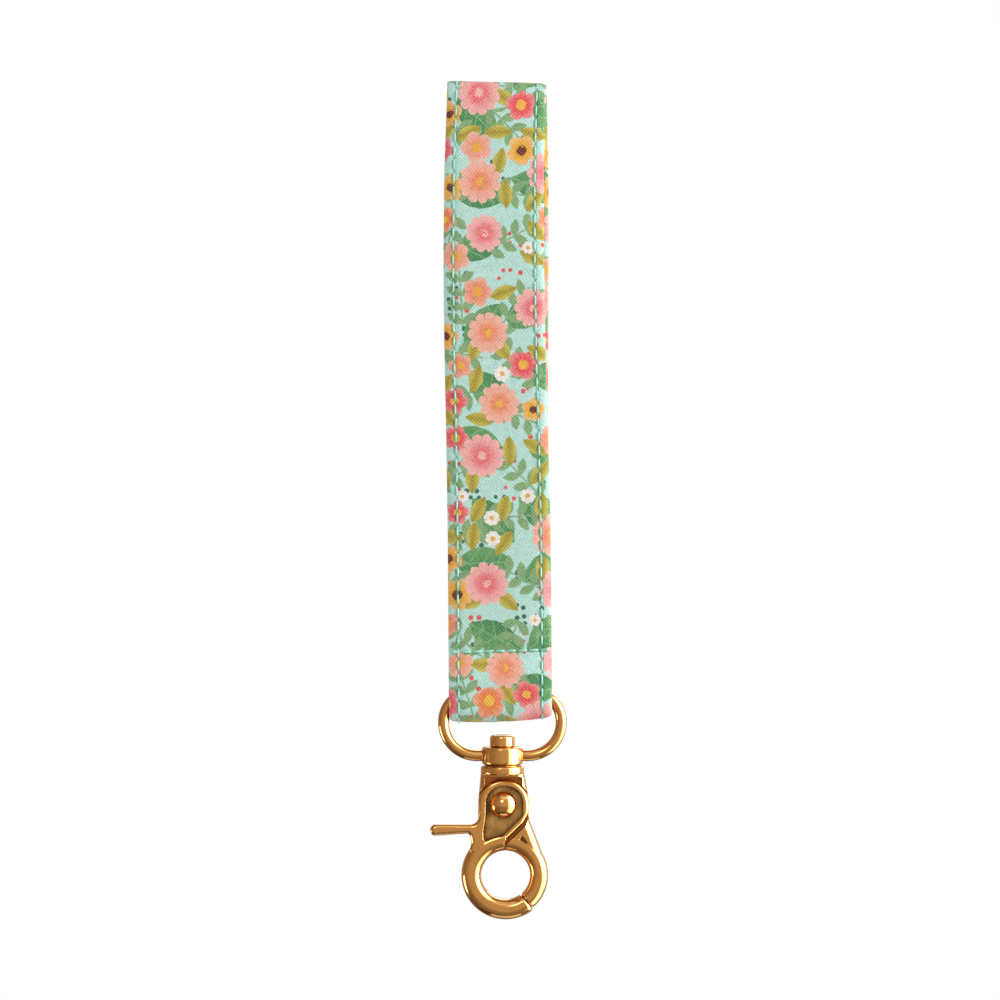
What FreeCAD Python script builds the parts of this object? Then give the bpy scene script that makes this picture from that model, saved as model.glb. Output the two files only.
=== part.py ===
import FreeCAD, Part
import math
import os
import re

import Sketcher
from FreeCAD import Placement, Rotation, Vector

# A wristlet keychain hanging from the wrist: a printed fabric strap folded into a hand loop, an oval
# swivel eye threaded through the fold at its foot, and a scissor-action trigger snap on a swivel pin.
# Frame: +Z up, X across the strap, the front face looks along -Y, the origin is the inside of the top
# bend, where the loop hangs. The snap's pieces are drawn about the trigger's pivot and placed there.

SIZES = {
    # Strap: a sleeve of printed fabric round a webbing core, closed into a long loop.
    "strap_width": 25.0,
    "strap_thickness": 2.0,
    "fabric_thickness": 0.45,
    "core_clearance": 0.05,
    "edge_slit": 0.2,
    "loop_bend_radius": 2.2,
    "loop_half_gap": 4.3,
    "loop_shoulder_drop": 40.0,
    "loop_shoulder_radius": 300.0,
    "seam_drop": 136.5,
    "seam_length": 3.0,
    "seam_gap": 0.1,
    "seam_flare_radius": 60.0,
    "pocket_length": 17.5,
    "pocket_flare_length": 4.5,
    "pocket_flare_radius": 6.0,
    # Swivel eye: one casting, an oval wire ring and the boss that the swivel pin turns in.
    "wire_diameter": 2.7,
    "ring_edge_clearance": 0.5,
    "ring_height": 14.1,
    "ring_low_share": 0.575,
    "ring_side_share": 0.515,
    "ring_bar_share": 0.195,
    "ring_shoulder_share": 0.223,
    "ring_shoulder_lean": 40.0,
    "bar_clearance": 0.35,
    "bar_rise": 3.8,
    "boss_diameter": 10.0,
    "boss_height": 4.3,
    "boss_round": 0.6,
    "collar_length": 1.5,
    "collar_flare": 0.55,
    # Swivel pin: turns in the boss and is held in the hook's flange.
    "pin_diameter": 3.6,
    "pin_running_gap": 0.05,
    "pin_seat_gap": 0.02,
    "pin_head_diameter": 6.1,
    "pin_head_height": 2.85,
    "pin_head_round": 0.8,
    # Hook body: flange, neck, back plate, right limb and the right arc of the eye.
    "swivel_gap": 0.35,
    "flange_diameter": 10.6,
    "flange_height": 2.0,
    "flange_round": 0.5,
    "flange_land_diameter": 8.4,
    "flange_land_height": 0.22,
    "neck_room": 1.15,
    "neck_half_width": 5.2,
    "neck_rim": 0.6,
    "neck_wall": 0.5,
    "neck_corner": 0.6,
    "neck_overlap": 1.0,
    "pivot_offset": 0.3,
    "half_depth": 2.5,
    "limb_half_width": 6.2,
    "limb_waist": 3.4,
    "limb_round": 2.2,
    "limb_blend": 8.0,
    "hip_share": 0.65,
    "hip_inset": 1.95,
    "hip_angle": 7.0,
    "arch_low_angle": 32.0,
    "arch_high_angle": 58.0,
    "arch_top_angle": 86.0,
    "arch_cover": 0.6,
    "arch_width": 1.7,
    "arch_blend": 3.0,
    "back_plate_radius": 8.9,
    "back_plate_left_angle": -133.0,
    "back_plate_foot_angle": -110.0,
    "back_plate_blend": 3.5,
    "dimple_depth": 0.8,
    "dimple_inset": 1.05,
    "dimple_drop": 2.9,
    "dimple_round": 0.3,
    # Eye of the hook: an open ring of rounded section, parted at the top and at the lower right.
    "eye_offset": 0.5,
    "eye_top_drop": 11.25,
    "eye_radius": 5.95,
    "eye_section_width": 4.4,
    "gate_section_width": 4.85,
    "eye_section_round": 2.1,
    "eye_rise": 0.2,
    "top_parting_gap": 0.45,
    "top_lap_angle": 8.0,
    "top_lap_gap": 0.25,
    "mouth_angle": 50.0,
    "mouth_gap_angle": 0.8,
    "mouth_round": 0.4,
    "gate_tip_round": 0.8,
    # Trigger gate: the plate on the pivot with the thumb lever, the left limb and the eye's left arc.
    "head_radius": 6.2,
    "head_clearance": 0.3,
    "plate_gap": 0.2,
    "toe_length": 2.25,
    "dish_depth": 0.9,
    "rim_width": 1.5,
    "cheek_blend": 2.6,
    "web_half_width": 8.2,
    "web_waist": 0.6,
    "web_waist_angle": 137.0,
    "web_foot_angle": 149.0,
    "lever_reach": 17.9,
    "lever_top": 4.8,
    "lever_thickness": 2.85,
    "lever_root": 2.15,
    "lever_round": 1.35,
    "lever_blend": 1.9,
    "dish_corner": 2.0,
    "gate_edge_round": 0.9,
    "sweep_clearance": 0.5,
    "diagonal_gap": 0.62,
    "toe_round": 0.4,
    "gate_travel": 25.0,
    # Pivot rivet and the torsion spring coiled round it.
    "rivet_diameter": 3.0,
    "rivet_running_gap": 0.05,
    "rivet_seat_gap": 0.01,
    "rivet_head_diameter": 6.4,
    "rivet_head_height": 1.65,
    "rivet_tail_diameter": 4.6,
    "rivet_tail_height": 0.6,
    "spring_wire": 0.45,
    "spring_turns": 1.75,
    "spring_pitch": 0.5,
    "spring_clearance": 0.15,
    "spring_leg": 2.1,
    "spring_peg": 0.85,
}

# Places worked out from those sizes. Heights on the strap and the eye are drops from the origin;
# the snap's own heights are measured from the trigger's pivot.
FOLD_DROP = "(seam_drop + pocket_length)"
BAR_DROP = f"({FOLD_DROP} - strap_thickness - bar_rise)"
ARM_DROP = f"({BAR_DROP} + ring_height)"
NECK = "(head_radius + neck_room)"
PIVOT_DROP = f"({ARM_DROP} + boss_height / 2 + swivel_gap + flange_height + {NECK})"
RING_SIDE = "(strap_width / 2 + ring_edge_clearance + wire_diameter / 2)"
FLANGE_TOP = f"({NECK} + flange_height)"
PIN_SEAT = "(flange_height + neck_wall / 2)"
EYE_DROP = "(eye_top_drop + eye_radius)"
EYE_OUTER = "(eye_radius + eye_section_width)"
GATE_FLAT = "(eye_radius + gate_section_width - eye_section_round)"
PLATE_TOE = "(eye_offset - top_parting_gap * 4 / 5)"
TOE_TOP = "(eye_top_drop - toe_length)"
CHEEK_X = "(head_radius * 0.775)"
CHEEK_Z = "(head_radius * 0.71)"
COIL_RADIUS = "(rivet_diameter / 2 + rivet_running_gap + spring_wire + spring_clearance)"
SPRING_DEPTH = "(spring_turns * spring_pitch + spring_wire + 2 * spring_clearance)"

doc = FreeCAD.newDocument("wristlet_keychain")
sheet = doc.addObject("Spreadsheet::Sheet", "Sizes")
for row, (alias, number) in enumerate(SIZES.items(), start=1):
    sheet.set(f"A{row}", alias)
    sheet.set(f"B{row}", str(number))
    sheet.setAlias(f"B{row}", alias)
doc.recompute()


def sized(text):
    """An expression in the sheet's words, with each word pointed at its cell."""
    return re.sub(r"\b([a-z_]\w*)\b(?!\()", r"Sizes.\1", text)


def number(text):
    """The present value of such an expression."""
    value = sheet.evalExpression(sized(text))
    return float(getattr(value, "Value", value))


def bind(obj, prop, text):
    obj.setExpression(prop, sized(text))


def new_body(name):
    body = doc.addObject("PartDesign::Body", name)
    body.Label = name
    return body


def new_sketch(body, name, plane, offset="0"):
    """A sketch on one of the body's own origin planes, or parallel to it at a distance."""
    sketch = body.newObject("Sketcher::SketchObject", name)
    support = next(f for f in body.Origin.OriginFeatures if f.Role == plane)
    sketch.AttachmentSupport = [(support, "")]
    sketch.MapMode = "FlatFace"
    bind(sketch, ".AttachmentOffset.Base.z", offset)
    return sketch


def fix_point(sketch, point, x, y):
    """Hold a sketch point at two coordinates given as expressions."""
    for kind, text in (("DistanceX", x), ("DistanceY", y)):
        place = sketch.addConstraint(Sketcher.Constraint(kind, -1, 1, *point, number(text)))
        bind(sketch, f"Constraints[{place}]", text)


def add_circle(sketch, x, y, radius):
    centre = Vector(number(x), number(y), 0)
    circle = sketch.addGeometry(Part.Circle(centre, Vector(0, 0, 1), number(radius)))
    size = sketch.addConstraint(Sketcher.Constraint("Radius", circle, number(radius)))
    bind(sketch, f"Constraints[{size}]", radius)
    fix_point(sketch, (circle, 3), x, y)
    return circle


def add_outline(sketch, corners, closed=True):
    """Straight runs joined by tangent arcs. A corner is (x, y, radius), each an expression; the
    corner points stay in the sketch and hold the lines, so the outline follows the sheet."""
    points = [Vector(number(x), number(y), 0) for x, y, _ in corners]
    radii = [number(r) for _, _, r in corners]
    count = len(corners)
    starts = list(points)
    ends = list(points)
    arcs = [None] * count
    for i in range(count):
        if radii[i] <= 0 or (not closed and i in (0, count - 1)):
            continue
        back = (points[i - 1] - points[i]).normalize()
        ahead = (points[(i + 1) % count] - points[i]).normalize()
        half = back.getAngle(ahead) / 2
        run = radii[i] / math.tan(half)
        ends[i] = points[i] + back * run
        starts[i] = points[i] + ahead * run
        middle = (back + ahead).normalize()
        centre = points[i] + middle * (radii[i] / math.sin(half))
        clockwise = back.cross(ahead).z > 0
        first, last = (starts[i], ends[i]) if clockwise else (ends[i], starts[i])
        arcs[i] = Part.Arc(first, centre - middle * radii[i], last)
    runs = count if closed else count - 1
    lines = []
    for i in range(runs):
        lines.append(sketch.addGeometry(Part.LineSegment(starts[i], ends[(i + 1) % count])))
    rules = []
    sizes = []
    for i in range(count):
        before = lines[i - 1] if closed or i > 0 else None
        after = lines[i] if i < runs else None
        x, y, radius = corners[i]
        if arcs[i] is None:
            if before is not None and after is not None:
                rules.append(Sketcher.Constraint("Coincident", before, 2, after, 1))
            point = (after, 1) if after is not None else (before, 2)
        else:
            arc = sketch.addGeometry(arcs[i])
            first, last = (1, 2)
            if sketch.Geometry[arc].StartPoint.distanceToPoint(ends[i]) > 1e-6:
                first, last = (2, 1)
            rules.append(Sketcher.Constraint("Tangent", before, 2, arc, first))
            rules.append(Sketcher.Constraint("Tangent", arc, last, after, 1))
            sizes.append((arc, radius))
            corner = sketch.addGeometry(Part.Point(points[i]), True)
            rules.append(Sketcher.Constraint("PointOnObject", corner, 1, before))
            rules.append(Sketcher.Constraint("PointOnObject", corner, 1, after))
            point = (corner, 1)
        fixes = (("DistanceX", x), ("DistanceY", y))
        for kind, text in fixes:
            rules.append(Sketcher.Constraint(kind, -1, 1, *point, number(text)))
            sizes.append((len(rules) - 1, text, True))
    first_rule = sketch.ConstraintCount
    sketch.addConstraint(rules)
    for entry in sizes:
        if len(entry) == 3:
            bind(sketch, f"Constraints[{first_rule + entry[0]}]", entry[1])
        else:
            size = sketch.addConstraint(Sketcher.Constraint("Radius", entry[0], number(entry[1])))
            bind(sketch, f"Constraints[{size}]", entry[1])


def add_feature(body, kind, name, profile, **settings):
    """A feature on a sketch. Settings that are text in the sheet's words are bound to it."""
    feature = body.newObject(kind, name)
    feature.Profile = profile
    for prop, value in settings.items():
        if isinstance(value, str) and prop in ("Length", "Length2", "Angle"):
            bind(feature, prop, value)
        else:
            setattr(feature, prop, value)
    profile.Visibility = False
    return feature


def add_turning(body, name, profile, level="0", along="V_Axis", degrees="360", reverse=False):
    """A solid of revolution about a line of its sketch, parallel to one of the sketch's axes."""
    axis = profile.addGeometry(Part.LineSegment(*axis_ends(level, along)), True)
    for end, shift in ((1, "0"), (2, "1")):
        x, y = (level, shift) if along == "V_Axis" else (shift, level)
        fix_point(profile, (axis, end), x, y)
    lines = [i for i, g in enumerate(profile.Geometry[:axis + 1]) if profile.getConstruction(i)]
    name_on_axis = f"Axis{[i for i in lines if hasattr(profile.Geometry[i], 'EndPoint')].index(axis)}"
    return add_feature(body, "PartDesign::Revolution", name, profile, Angle=degrees, Reversed=reverse,
                       ReferenceAxis=(profile, [name_on_axis]))


def axis_ends(level, along):
    place = number(level)
    if along == "V_Axis":
        return Vector(place, 0, 0), Vector(place, 1, 0)
    return Vector(0, place, 0), Vector(1, place, 0)


def round_edges(body, name, radius, chosen, kind="PartDesign::Fillet"):
    """Round the edges of the body's present tip whose middle point the test accepts."""
    doc.recompute()
    base = body.Tip
    names = []
    for i, edge in enumerate(base.Shape.Edges, start=1):
        middle = edge.valueAt((edge.FirstParameter + edge.LastParameter) / 2)
        if chosen(middle, edge):
            names.append(f"Edge{i}")
    feature = body.newObject(kind, name)
    feature.Base = (base, names)
    bind(feature, "Radius", radius)
    return feature


# ---------------------------------------------------------------- strap
# A strip of printed fabric folded lengthwise round a webbing core, its turned-in edges meeting at the
# right edge. The band runs up the front, over the top bend, down the back and under the eye's bar,
# and a seam pinches front and back together above the bar.

def strap_path():
    """The band's middle line, seen from its edge: a closed loop of straight runs and arcs."""
    path = doc.addObject("Sketcher::SketchObject", "strap_path")
    path.Placement = Placement(Vector(), Rotation(Vector(1, 1, 1), 120))
    bend = "loop_bend_radius + strap_thickness / 2"
    seam = "(seam_gap + strap_thickness) / 2"
    pocket = "wire_diameter / 2 + bar_clearance + strap_thickness / 2"
    side = [
        (bend, "strap_thickness / 2", bend),
        ("loop_half_gap + strap_thickness / 2", "-loop_shoulder_drop", "loop_shoulder_radius"),
        (seam, "-(seam_drop - seam_length / 2)", "seam_flare_radius"),
        (seam, "-(seam_drop + seam_length / 2)", "pocket_flare_radius"),
        (pocket, "-(seam_drop + seam_length / 2 + pocket_flare_length)", "pocket_flare_radius"),
        (pocket, f"-({FOLD_DROP} - strap_thickness / 2)", f"({pocket}) * 0.98"),
    ]
    mirrored = [(f"-({y})", z, radius) for y, z, radius in reversed(side)]
    add_outline(path, side + mirrored)
    return path


def band(name, path, inward, outward, width, offset="0"):
    """A closed band along the path: the space between two offsets of it, as wide as stated."""
    skins = []
    for label, reach in (("outside", outward), ("inside", inward)):
        edge = doc.addObject("Part::Offset2D", f"{name}_{label}_edge")
        edge.Source = path
        bind(edge, "Value", reach)
        block = doc.addObject("Part::Extrusion", f"{name}_{label}")
        block.Base = edge
        block.DirMode = "Custom"
        block.Dir = Vector(1, 0, 0)
        block.Solid = True
        bind(block, "LengthFwd", f"({width}) / 2 + ({offset})")
        bind(block, "LengthRev", f"({width}) / 2 - ({offset})")
        skins.append(block)
    ring = doc.addObject("Part::Cut", name)
    ring.Base, ring.Tool = skins
    return ring


def make_strap():
    path = strap_path()
    half = "strap_thickness / 2"
    hollow = "strap_thickness / 2 - fabric_thickness"
    core = f"{hollow} - core_clearance"
    core_width = "strap_width - 2 * (fabric_thickness + core_clearance)"
    whole = band("strap_whole", path, f"-({half})", half, "strap_width")
    space = band("strap_space", path, f"-({hollow})", hollow, "strap_width - 2 * fabric_thickness")
    slit = band("strap_slit", path, "-edge_slit / 2", "edge_slit / 2", "strap_width", "core_clearance")
    reliefs = [bar_relief(side) for side in (-1, 1)]
    sleeve = doc.addObject("Part::MultiFuse", "strap_cuts")
    sleeve.Shapes = [space, slit] + reliefs
    cover = doc.addObject("Part::Cut", "strap_cover")
    cover.Base = whole
    cover.Tool = sleeve
    filling = band("webbing_whole", path, f"-({core})", core, core_width)
    relief = doc.addObject("Part::MultiFuse", "webbing_cuts")
    relief.Shapes = reliefs
    webbing = doc.addObject("Part::Cut", "strap_webbing")
    webbing.Base = filling
    webbing.Tool = relief
    return [cover, webbing]


def bar_relief(side):
    """Room at one mouth of the fold for the eye's curved shoulder as the eye swings on its bar."""
    cone = doc.addObject("Part::Cone", "relief_left" if side < 0 else "relief_right")
    reach = "ring_height * ring_bar_share * 3 / 4"
    bind(cone, "Radius1", "wire_diameter / 2 + bar_clearance")
    bind(cone, "Radius2", "wire_diameter * 4 / 3")
    bind(cone, "Height", reach)
    cone.Placement.Rotation = Rotation(Vector(0, 1, 0), 90 * side)
    start = f"strap_width / 2 - {reach} + core_clearance"
    bind(cone, "Placement.Base.x", f"({start}) * ({side})")
    bind(cone, "Placement.Base.z", f"-{BAR_DROP}")
    return cone


# ---------------------------------------------------------------- swivel eye
# A zinc casting: round wire bent to an oval, the straight bar on top inside the strap's fold, both
# ends running into a turned boss bored for the swivel pin.

def make_eye():
    body = new_body("swivel_d_ring")
    shoulder = "ring_height * ring_shoulder_share"
    inside = "boss_diameter / 4"
    half = [
        (inside, f"-{ARM_DROP}", "0"),
        (RING_SIDE, f"-{ARM_DROP}", "ring_height * ring_low_share"),
        (RING_SIDE, f"-({BAR_DROP} + {shoulder})", "ring_height * ring_side_share"),
        (f"{RING_SIDE} - {shoulder} * tan(ring_shoulder_lean)", f"-{BAR_DROP}",
         "ring_height * ring_bar_share"),
    ]
    mirrored = [(f"-({x})", z, radius) for x, z, radius in reversed(half)]
    path = new_sketch(body, "eye_path", "XZ_Plane")
    add_outline(path, half + mirrored, closed=False)
    section = new_sketch(body, "eye_wire", "YZ_Plane", inside)
    add_circle(section, "0", f"-{ARM_DROP}", "wire_diameter / 2")
    wire = body.newObject("PartDesign::AdditivePipe", "eye_pipe")
    wire.Profile = section
    wire.Spine = (path, [])
    for side in (-1, 1):
        add_collar(body, side)
    turned = new_sketch(body, "boss_section", "XZ_Plane")
    top = f"-({ARM_DROP} - boss_height / 2)"
    foot = f"-({ARM_DROP} + boss_height / 2)"
    bore = "pin_diameter / 2 + pin_running_gap"
    add_outline(turned, [
        (bore, top, "0"),
        ("boss_diameter / 2", top, "boss_round"),
        ("boss_diameter / 2", foot, "boss_round"),
        (bore, foot, "0"),
    ])
    add_turning(body, "boss", turned)
    hole = new_sketch(body, "boss_bore_circle", "XY_Plane", f"-{ARM_DROP}")
    add_circle(hole, "0", "0", bore)
    add_feature(body, "PartDesign::Pocket", "boss_bore", hole, SideType="Symmetric", Length="boss_height * 2")
    return body


def add_collar(body, side):
    """The flare where one arm of the ring runs into the boss."""
    name = "collar_left" if side < 0 else "collar_right"
    profile = new_sketch(body, f"{name}_section", "XZ_Plane")
    inner = f"{side} * boss_diameter / 4"
    root = f"{side} * (boss_diameter / 2 - boss_round)"
    tip = f"{side} * (boss_diameter / 2 + collar_length)"
    arm = "wire_diameter / 2"
    add_outline(profile, [
        (inner, f"-{ARM_DROP}", "0"),
        (tip, f"-{ARM_DROP}", "0"),
        (tip, f"{arm} - {ARM_DROP}", "0"),
        (root, f"{arm} + collar_flare - {ARM_DROP}", "0"),
        (inner, f"{arm} + collar_flare - {ARM_DROP}", "0"),
    ])
    add_turning(body, name, profile, f"-{ARM_DROP}", "H_Axis")


# ---------------------------------------------------------------- swivel pin
# A headed pin: the head sits on the boss inside the eye, the shank turns in the bore and is held in
# the hook's flange.

def make_swivel_pin():
    body = new_body("swivel_pin")
    seat = f"-({ARM_DROP} - boss_height / 2 - pin_running_gap)"
    top = f"{seat} + pin_head_height"
    end = f"-({ARM_DROP} + boss_height / 2 + swivel_gap + {PIN_SEAT})"
    section = new_sketch(body, "pin_section", "XZ_Plane")
    add_outline(section, [
        ("0", top, "0"),
        ("pin_head_diameter / 2", top, "pin_head_round"),
        ("pin_head_diameter / 2", seat, "pin_head_round / 2"),
        ("pin_diameter / 2", seat, "0"),
        ("pin_diameter / 2", end, "0"),
        ("0", end, "0"),
    ])
    add_turning(body, "pin", section)
    return body


def place_on_pivot(body):
    """Pieces of the snap are drawn about the trigger's pivot and set down there."""
    bind(body, ".Placement.Base.x", "pivot_offset")
    bind(body, ".Placement.Base.z", f"-{PIVOT_DROP}")


def about_eye(angle, radius):
    """A point at an angle and a distance round the middle of the hook's eye."""
    return (f"eye_offset + ({radius}) * cos({angle})", f"({radius}) * sin({angle}) - {EYE_DROP}")


def about_pivot(angle, radius):
    return (f"({radius}) * cos({angle})", f"({radius}) * sin({angle})")


# ---------------------------------------------------------------- hook body
# The snap's main casting. From above: a round flange bored for the swivel pin, a neck hollowed in
# front with a rim left at each side, a half-thickness back plate behind the trigger, and the right
# limb running into the right arc of the eye.

def eye_section(body, name, width):
    """The rounded section of the hook's eye, above its centre."""
    section = new_sketch(body, name, "YZ_Plane", "eye_offset")
    inner = f"eye_radius - {EYE_DROP}"
    outer = f"eye_radius + {width} - {EYE_DROP}"
    side = "(half_depth + eye_rise)"
    add_outline(section, [
        (f"-{side}", inner, "eye_section_round"),
        (side, inner, "eye_section_round"),
        (side, outer, "eye_section_round"),
        (f"-{side}", outer, "eye_section_round"),
    ])
    return section


def make_hook_body():
    body = new_body("hook_body")
    frame = new_sketch(body, "frame_outline", "XZ_Plane")
    neck_top = f"{NECK} + neck_overlap"
    arch = "eye_radius + arch_width"
    add_outline(frame, [
        ("-(neck_half_width + pivot_offset)", neck_top, "0"),
        ("neck_half_width - pivot_offset", neck_top, "0"),
        ("limb_half_width", "head_radius / 6", "limb_blend"),
        ("limb_half_width * 0.985", "-limb_waist", "limb_blend * 5 / 8"),
        (f"eye_offset + {EYE_OUTER} - hip_inset", f"{EYE_OUTER} * hip_share - {EYE_DROP}", "limb_blend"),
        (*about_eye("hip_angle", EYE_OUTER), "0"),
        (*about_eye("hip_angle", f"{arch} + arch_cover / 12"), "0"),
        (*about_eye("arch_low_angle", f"{arch} + arch_cover"), "arch_blend"),
        (*about_eye("arch_high_angle", f"{arch} + arch_cover"), "arch_blend"),
        (*about_eye("arch_top_angle", f"{arch} + arch_cover / 6"), "0"),
        (*about_pivot("-arch_top_angle", "back_plate_radius"), "toe_round"),
        (*about_pivot("back_plate_foot_angle", "back_plate_radius"), "back_plate_blend"),
        (*about_pivot("back_plate_left_angle", "back_plate_radius"), "back_plate_blend"),
        ("-limb_half_width", "-head_radius / 3", "limb_blend * 3 / 4"),
        ("-limb_half_width * 0.995", "head_radius / 6", "limb_blend"),
    ])
    add_feature(body, "PartDesign::Pad", "frame", frame, SideType="Symmetric", Length="half_depth * 2")
    round_edges(body, "limb_rounds", "limb_round", outer_flank)
    flange = new_sketch(body, "flange_section", "XZ_Plane")
    land_top = f"({FLANGE_TOP} + flange_land_height)"
    add_outline(flange, [
        ("-pivot_offset", land_top, "0"),
        ("flange_land_diameter / 2 - pivot_offset", land_top, "0"),
        ("flange_land_diameter / 2 - pivot_offset", FLANGE_TOP, "0"),
        ("flange_diameter / 2 - pivot_offset", FLANGE_TOP, "flange_round"),
        ("flange_diameter / 2 - pivot_offset", NECK, "flange_round"),
        ("-pivot_offset", NECK, "0"),
    ])
    add_turning(body, "flange", flange, "-pivot_offset")
    arc = eye_section(body, "eye_arc_section", "eye_section_width")
    ring = add_turning(body, "eye_arc", arc, f"-{EYE_DROP}", "H_Axis", "90 + mouth_angle")
    ring.Type = "TwoAngles"
    bind(ring, "Angle2", "top_lap_angle")
    round_edges(body, "mouth_rounds", "mouth_round", mouth_edge(0))
    cut_gate_room(body)
    cut_hook_bores(body)
    place_on_pivot(body)
    return body


def outer_flank(middle, edge):
    """Edges of the frame's outer flanks: both sides, front and back, off the eye."""
    on_face = abs(abs(middle.y) - number("half_depth")) < 1e-4
    beside = abs(middle.x) > number("neck_half_width - pivot_offset") - 0.5
    from_eye = math.hypot(middle.x - number("eye_offset"), middle.z + number(EYE_DROP))
    outside = middle.x < 0 or middle.z > -number("limb_waist") or from_eye > number(EYE_OUTER) - 0.01
    end = middle.z < 0 and from_eye < number(EYE_OUTER) - 0.01
    top = middle.z > number(f"{NECK} + neck_overlap") - 0.01
    return on_face and beside and outside and not end and not top


def mouth_edge(gap):
    """A test for the edges of the flat end where the eye is parted at the lower right."""
    def chosen(middle, edge):
        across = middle.x - number("eye_offset")
        below = middle.z + number(EYE_DROP)
        angle = math.degrees(math.atan2(below, across))
        at_mouth = abs(angle + number("mouth_angle") + gap) < 0.05
        return at_mouth and math.hypot(across, below) > number("eye_radius") - 0.01
    return chosen


def cut_gate_room(body):
    """The front half is cleared for the trigger: between the rims, round its head, and along the
    slanting edge that its plate closes against."""
    room = new_sketch(body, "gate_room_outline", "XZ_Plane")
    wide = "(lever_reach + 2)"
    reach = "head_radius + head_clearance"
    edge = f"{PLATE_TOE} + top_parting_gap"
    foot = "(eye_top_drop + 2)"
    add_outline(room, [
        (f"-{wide}", "0", "0"),
        (reach, "0", "0"),
        (f"{reach} * 0.97", f"-{CHEEK_Z} / 2", "cheek_blend * 3 / 4"),
        (f"{CHEEK_X} + diagonal_gap", f"-({CHEEK_Z} + diagonal_gap)", "cheek_blend * 3 / 4"),
        (f"{edge} + diagonal_gap * 3 / 4", f"-({TOE_TOP} + diagonal_gap / 2)", "toe_round"),
        (edge, f"-({TOE_TOP} + diagonal_gap * 3 / 2)", "toe_round / 2"),
        (edge, f"-{foot}", "0"),
        (f"-{wide}", f"-{foot}", "0"),
    ])
    add_feature(body, "PartDesign::Pocket", "gate_room", room, Length="half_depth * 2", Reversed=True)
    slot = new_sketch(body, "neck_slot_outline", "XZ_Plane")
    top = f"{NECK} - neck_wall"
    left = "-(neck_half_width - neck_rim)"
    right = "neck_half_width - neck_rim"
    add_outline(slot, [
        (left, "0", "0"),
        (left, top, "neck_corner"),
        (right, top, "neck_corner"),
        (right, "0", "0"),
    ])
    add_feature(body, "PartDesign::Pocket", "neck_slot", slot, Length="half_depth * 2", Reversed=True)
    head = new_sketch(body, "head_room_circle", "XZ_Plane")
    add_circle(head, "0", "0", reach)
    add_feature(body, "PartDesign::Pocket", "head_room", head, Length="half_depth * 2", Reversed=True)
    dimple = new_sketch(body, "dimple_outline", "XZ_Plane", "half_depth")
    add_outline(dimple, [
        (f"{CHEEK_X} * 0.94", f"-({CHEEK_Z} + dimple_drop)", "dimple_round"),
        (*about_eye("arch_high_angle * 0.86", f"{EYE_OUTER} - dimple_inset"), "dimple_round"),
        (*about_eye("arch_high_angle * 1.2", f"{EYE_OUTER} - dimple_inset"), "dimple_round"),
    ])
    add_feature(body, "PartDesign::Pocket", "dimple", dimple, Length="dimple_depth")


def cut_hook_bores(body):
    """The blind bore for the swivel pin, the rivet's hole, and the pocket of the spring's coil."""
    seat = new_sketch(body, "pin_seat_circle", "XY_Plane", f"{FLANGE_TOP} + flange_land_height")
    add_circle(seat, "-pivot_offset", "0", "pin_diameter / 2 + pin_seat_gap")
    depth = f"{PIN_SEAT} + flange_land_height + pin_seat_gap"
    add_feature(body, "PartDesign::Pocket", "pin_seat", seat, Length=depth)
    hole = new_sketch(body, "rivet_hole_circle", "XZ_Plane")
    add_circle(hole, "0", "0", "rivet_diameter / 2 + rivet_seat_gap")
    add_feature(body, "PartDesign::Pocket", "rivet_hole", hole, SideType="Symmetric", Length="half_depth * 4")
    coil = new_sketch(body, "spring_pocket_outline", "XZ_Plane")
    room = "(spring_wire / 2 + spring_clearance)"
    add_circle(coil, "0", "0", f"{COIL_RADIUS} + {room}")
    add_feature(body, "PartDesign::Pocket", "spring_pocket", coil, Length=SPRING_DEPTH)
    slot = new_sketch(body, "spring_slot_outline", "XZ_Plane")
    end = f"{COIL_RADIUS} + spring_leg + spring_clearance"
    add_outline(slot, [
        (end, room, f"{room} / 2"),
        (end, f"-{room}", f"{room} / 2"),
        ("rivet_diameter / 2", f"-{room}", "0"),
        ("rivet_diameter / 2", room, "0"),
    ])
    add_feature(body, "PartDesign::Pocket", "spring_slot", slot, Length=SPRING_DEPTH)


# ---------------------------------------------------------------- trigger gate
# The casting that opens the eye: a rounded head on the pivot with a dished face inside a raised rim,
# the thumb lever standing out to the left, and the left limb that runs into the eye's left arc and
# closes against the hook at the lower right. Pressing the lever up swings the arc out to the left.

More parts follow.
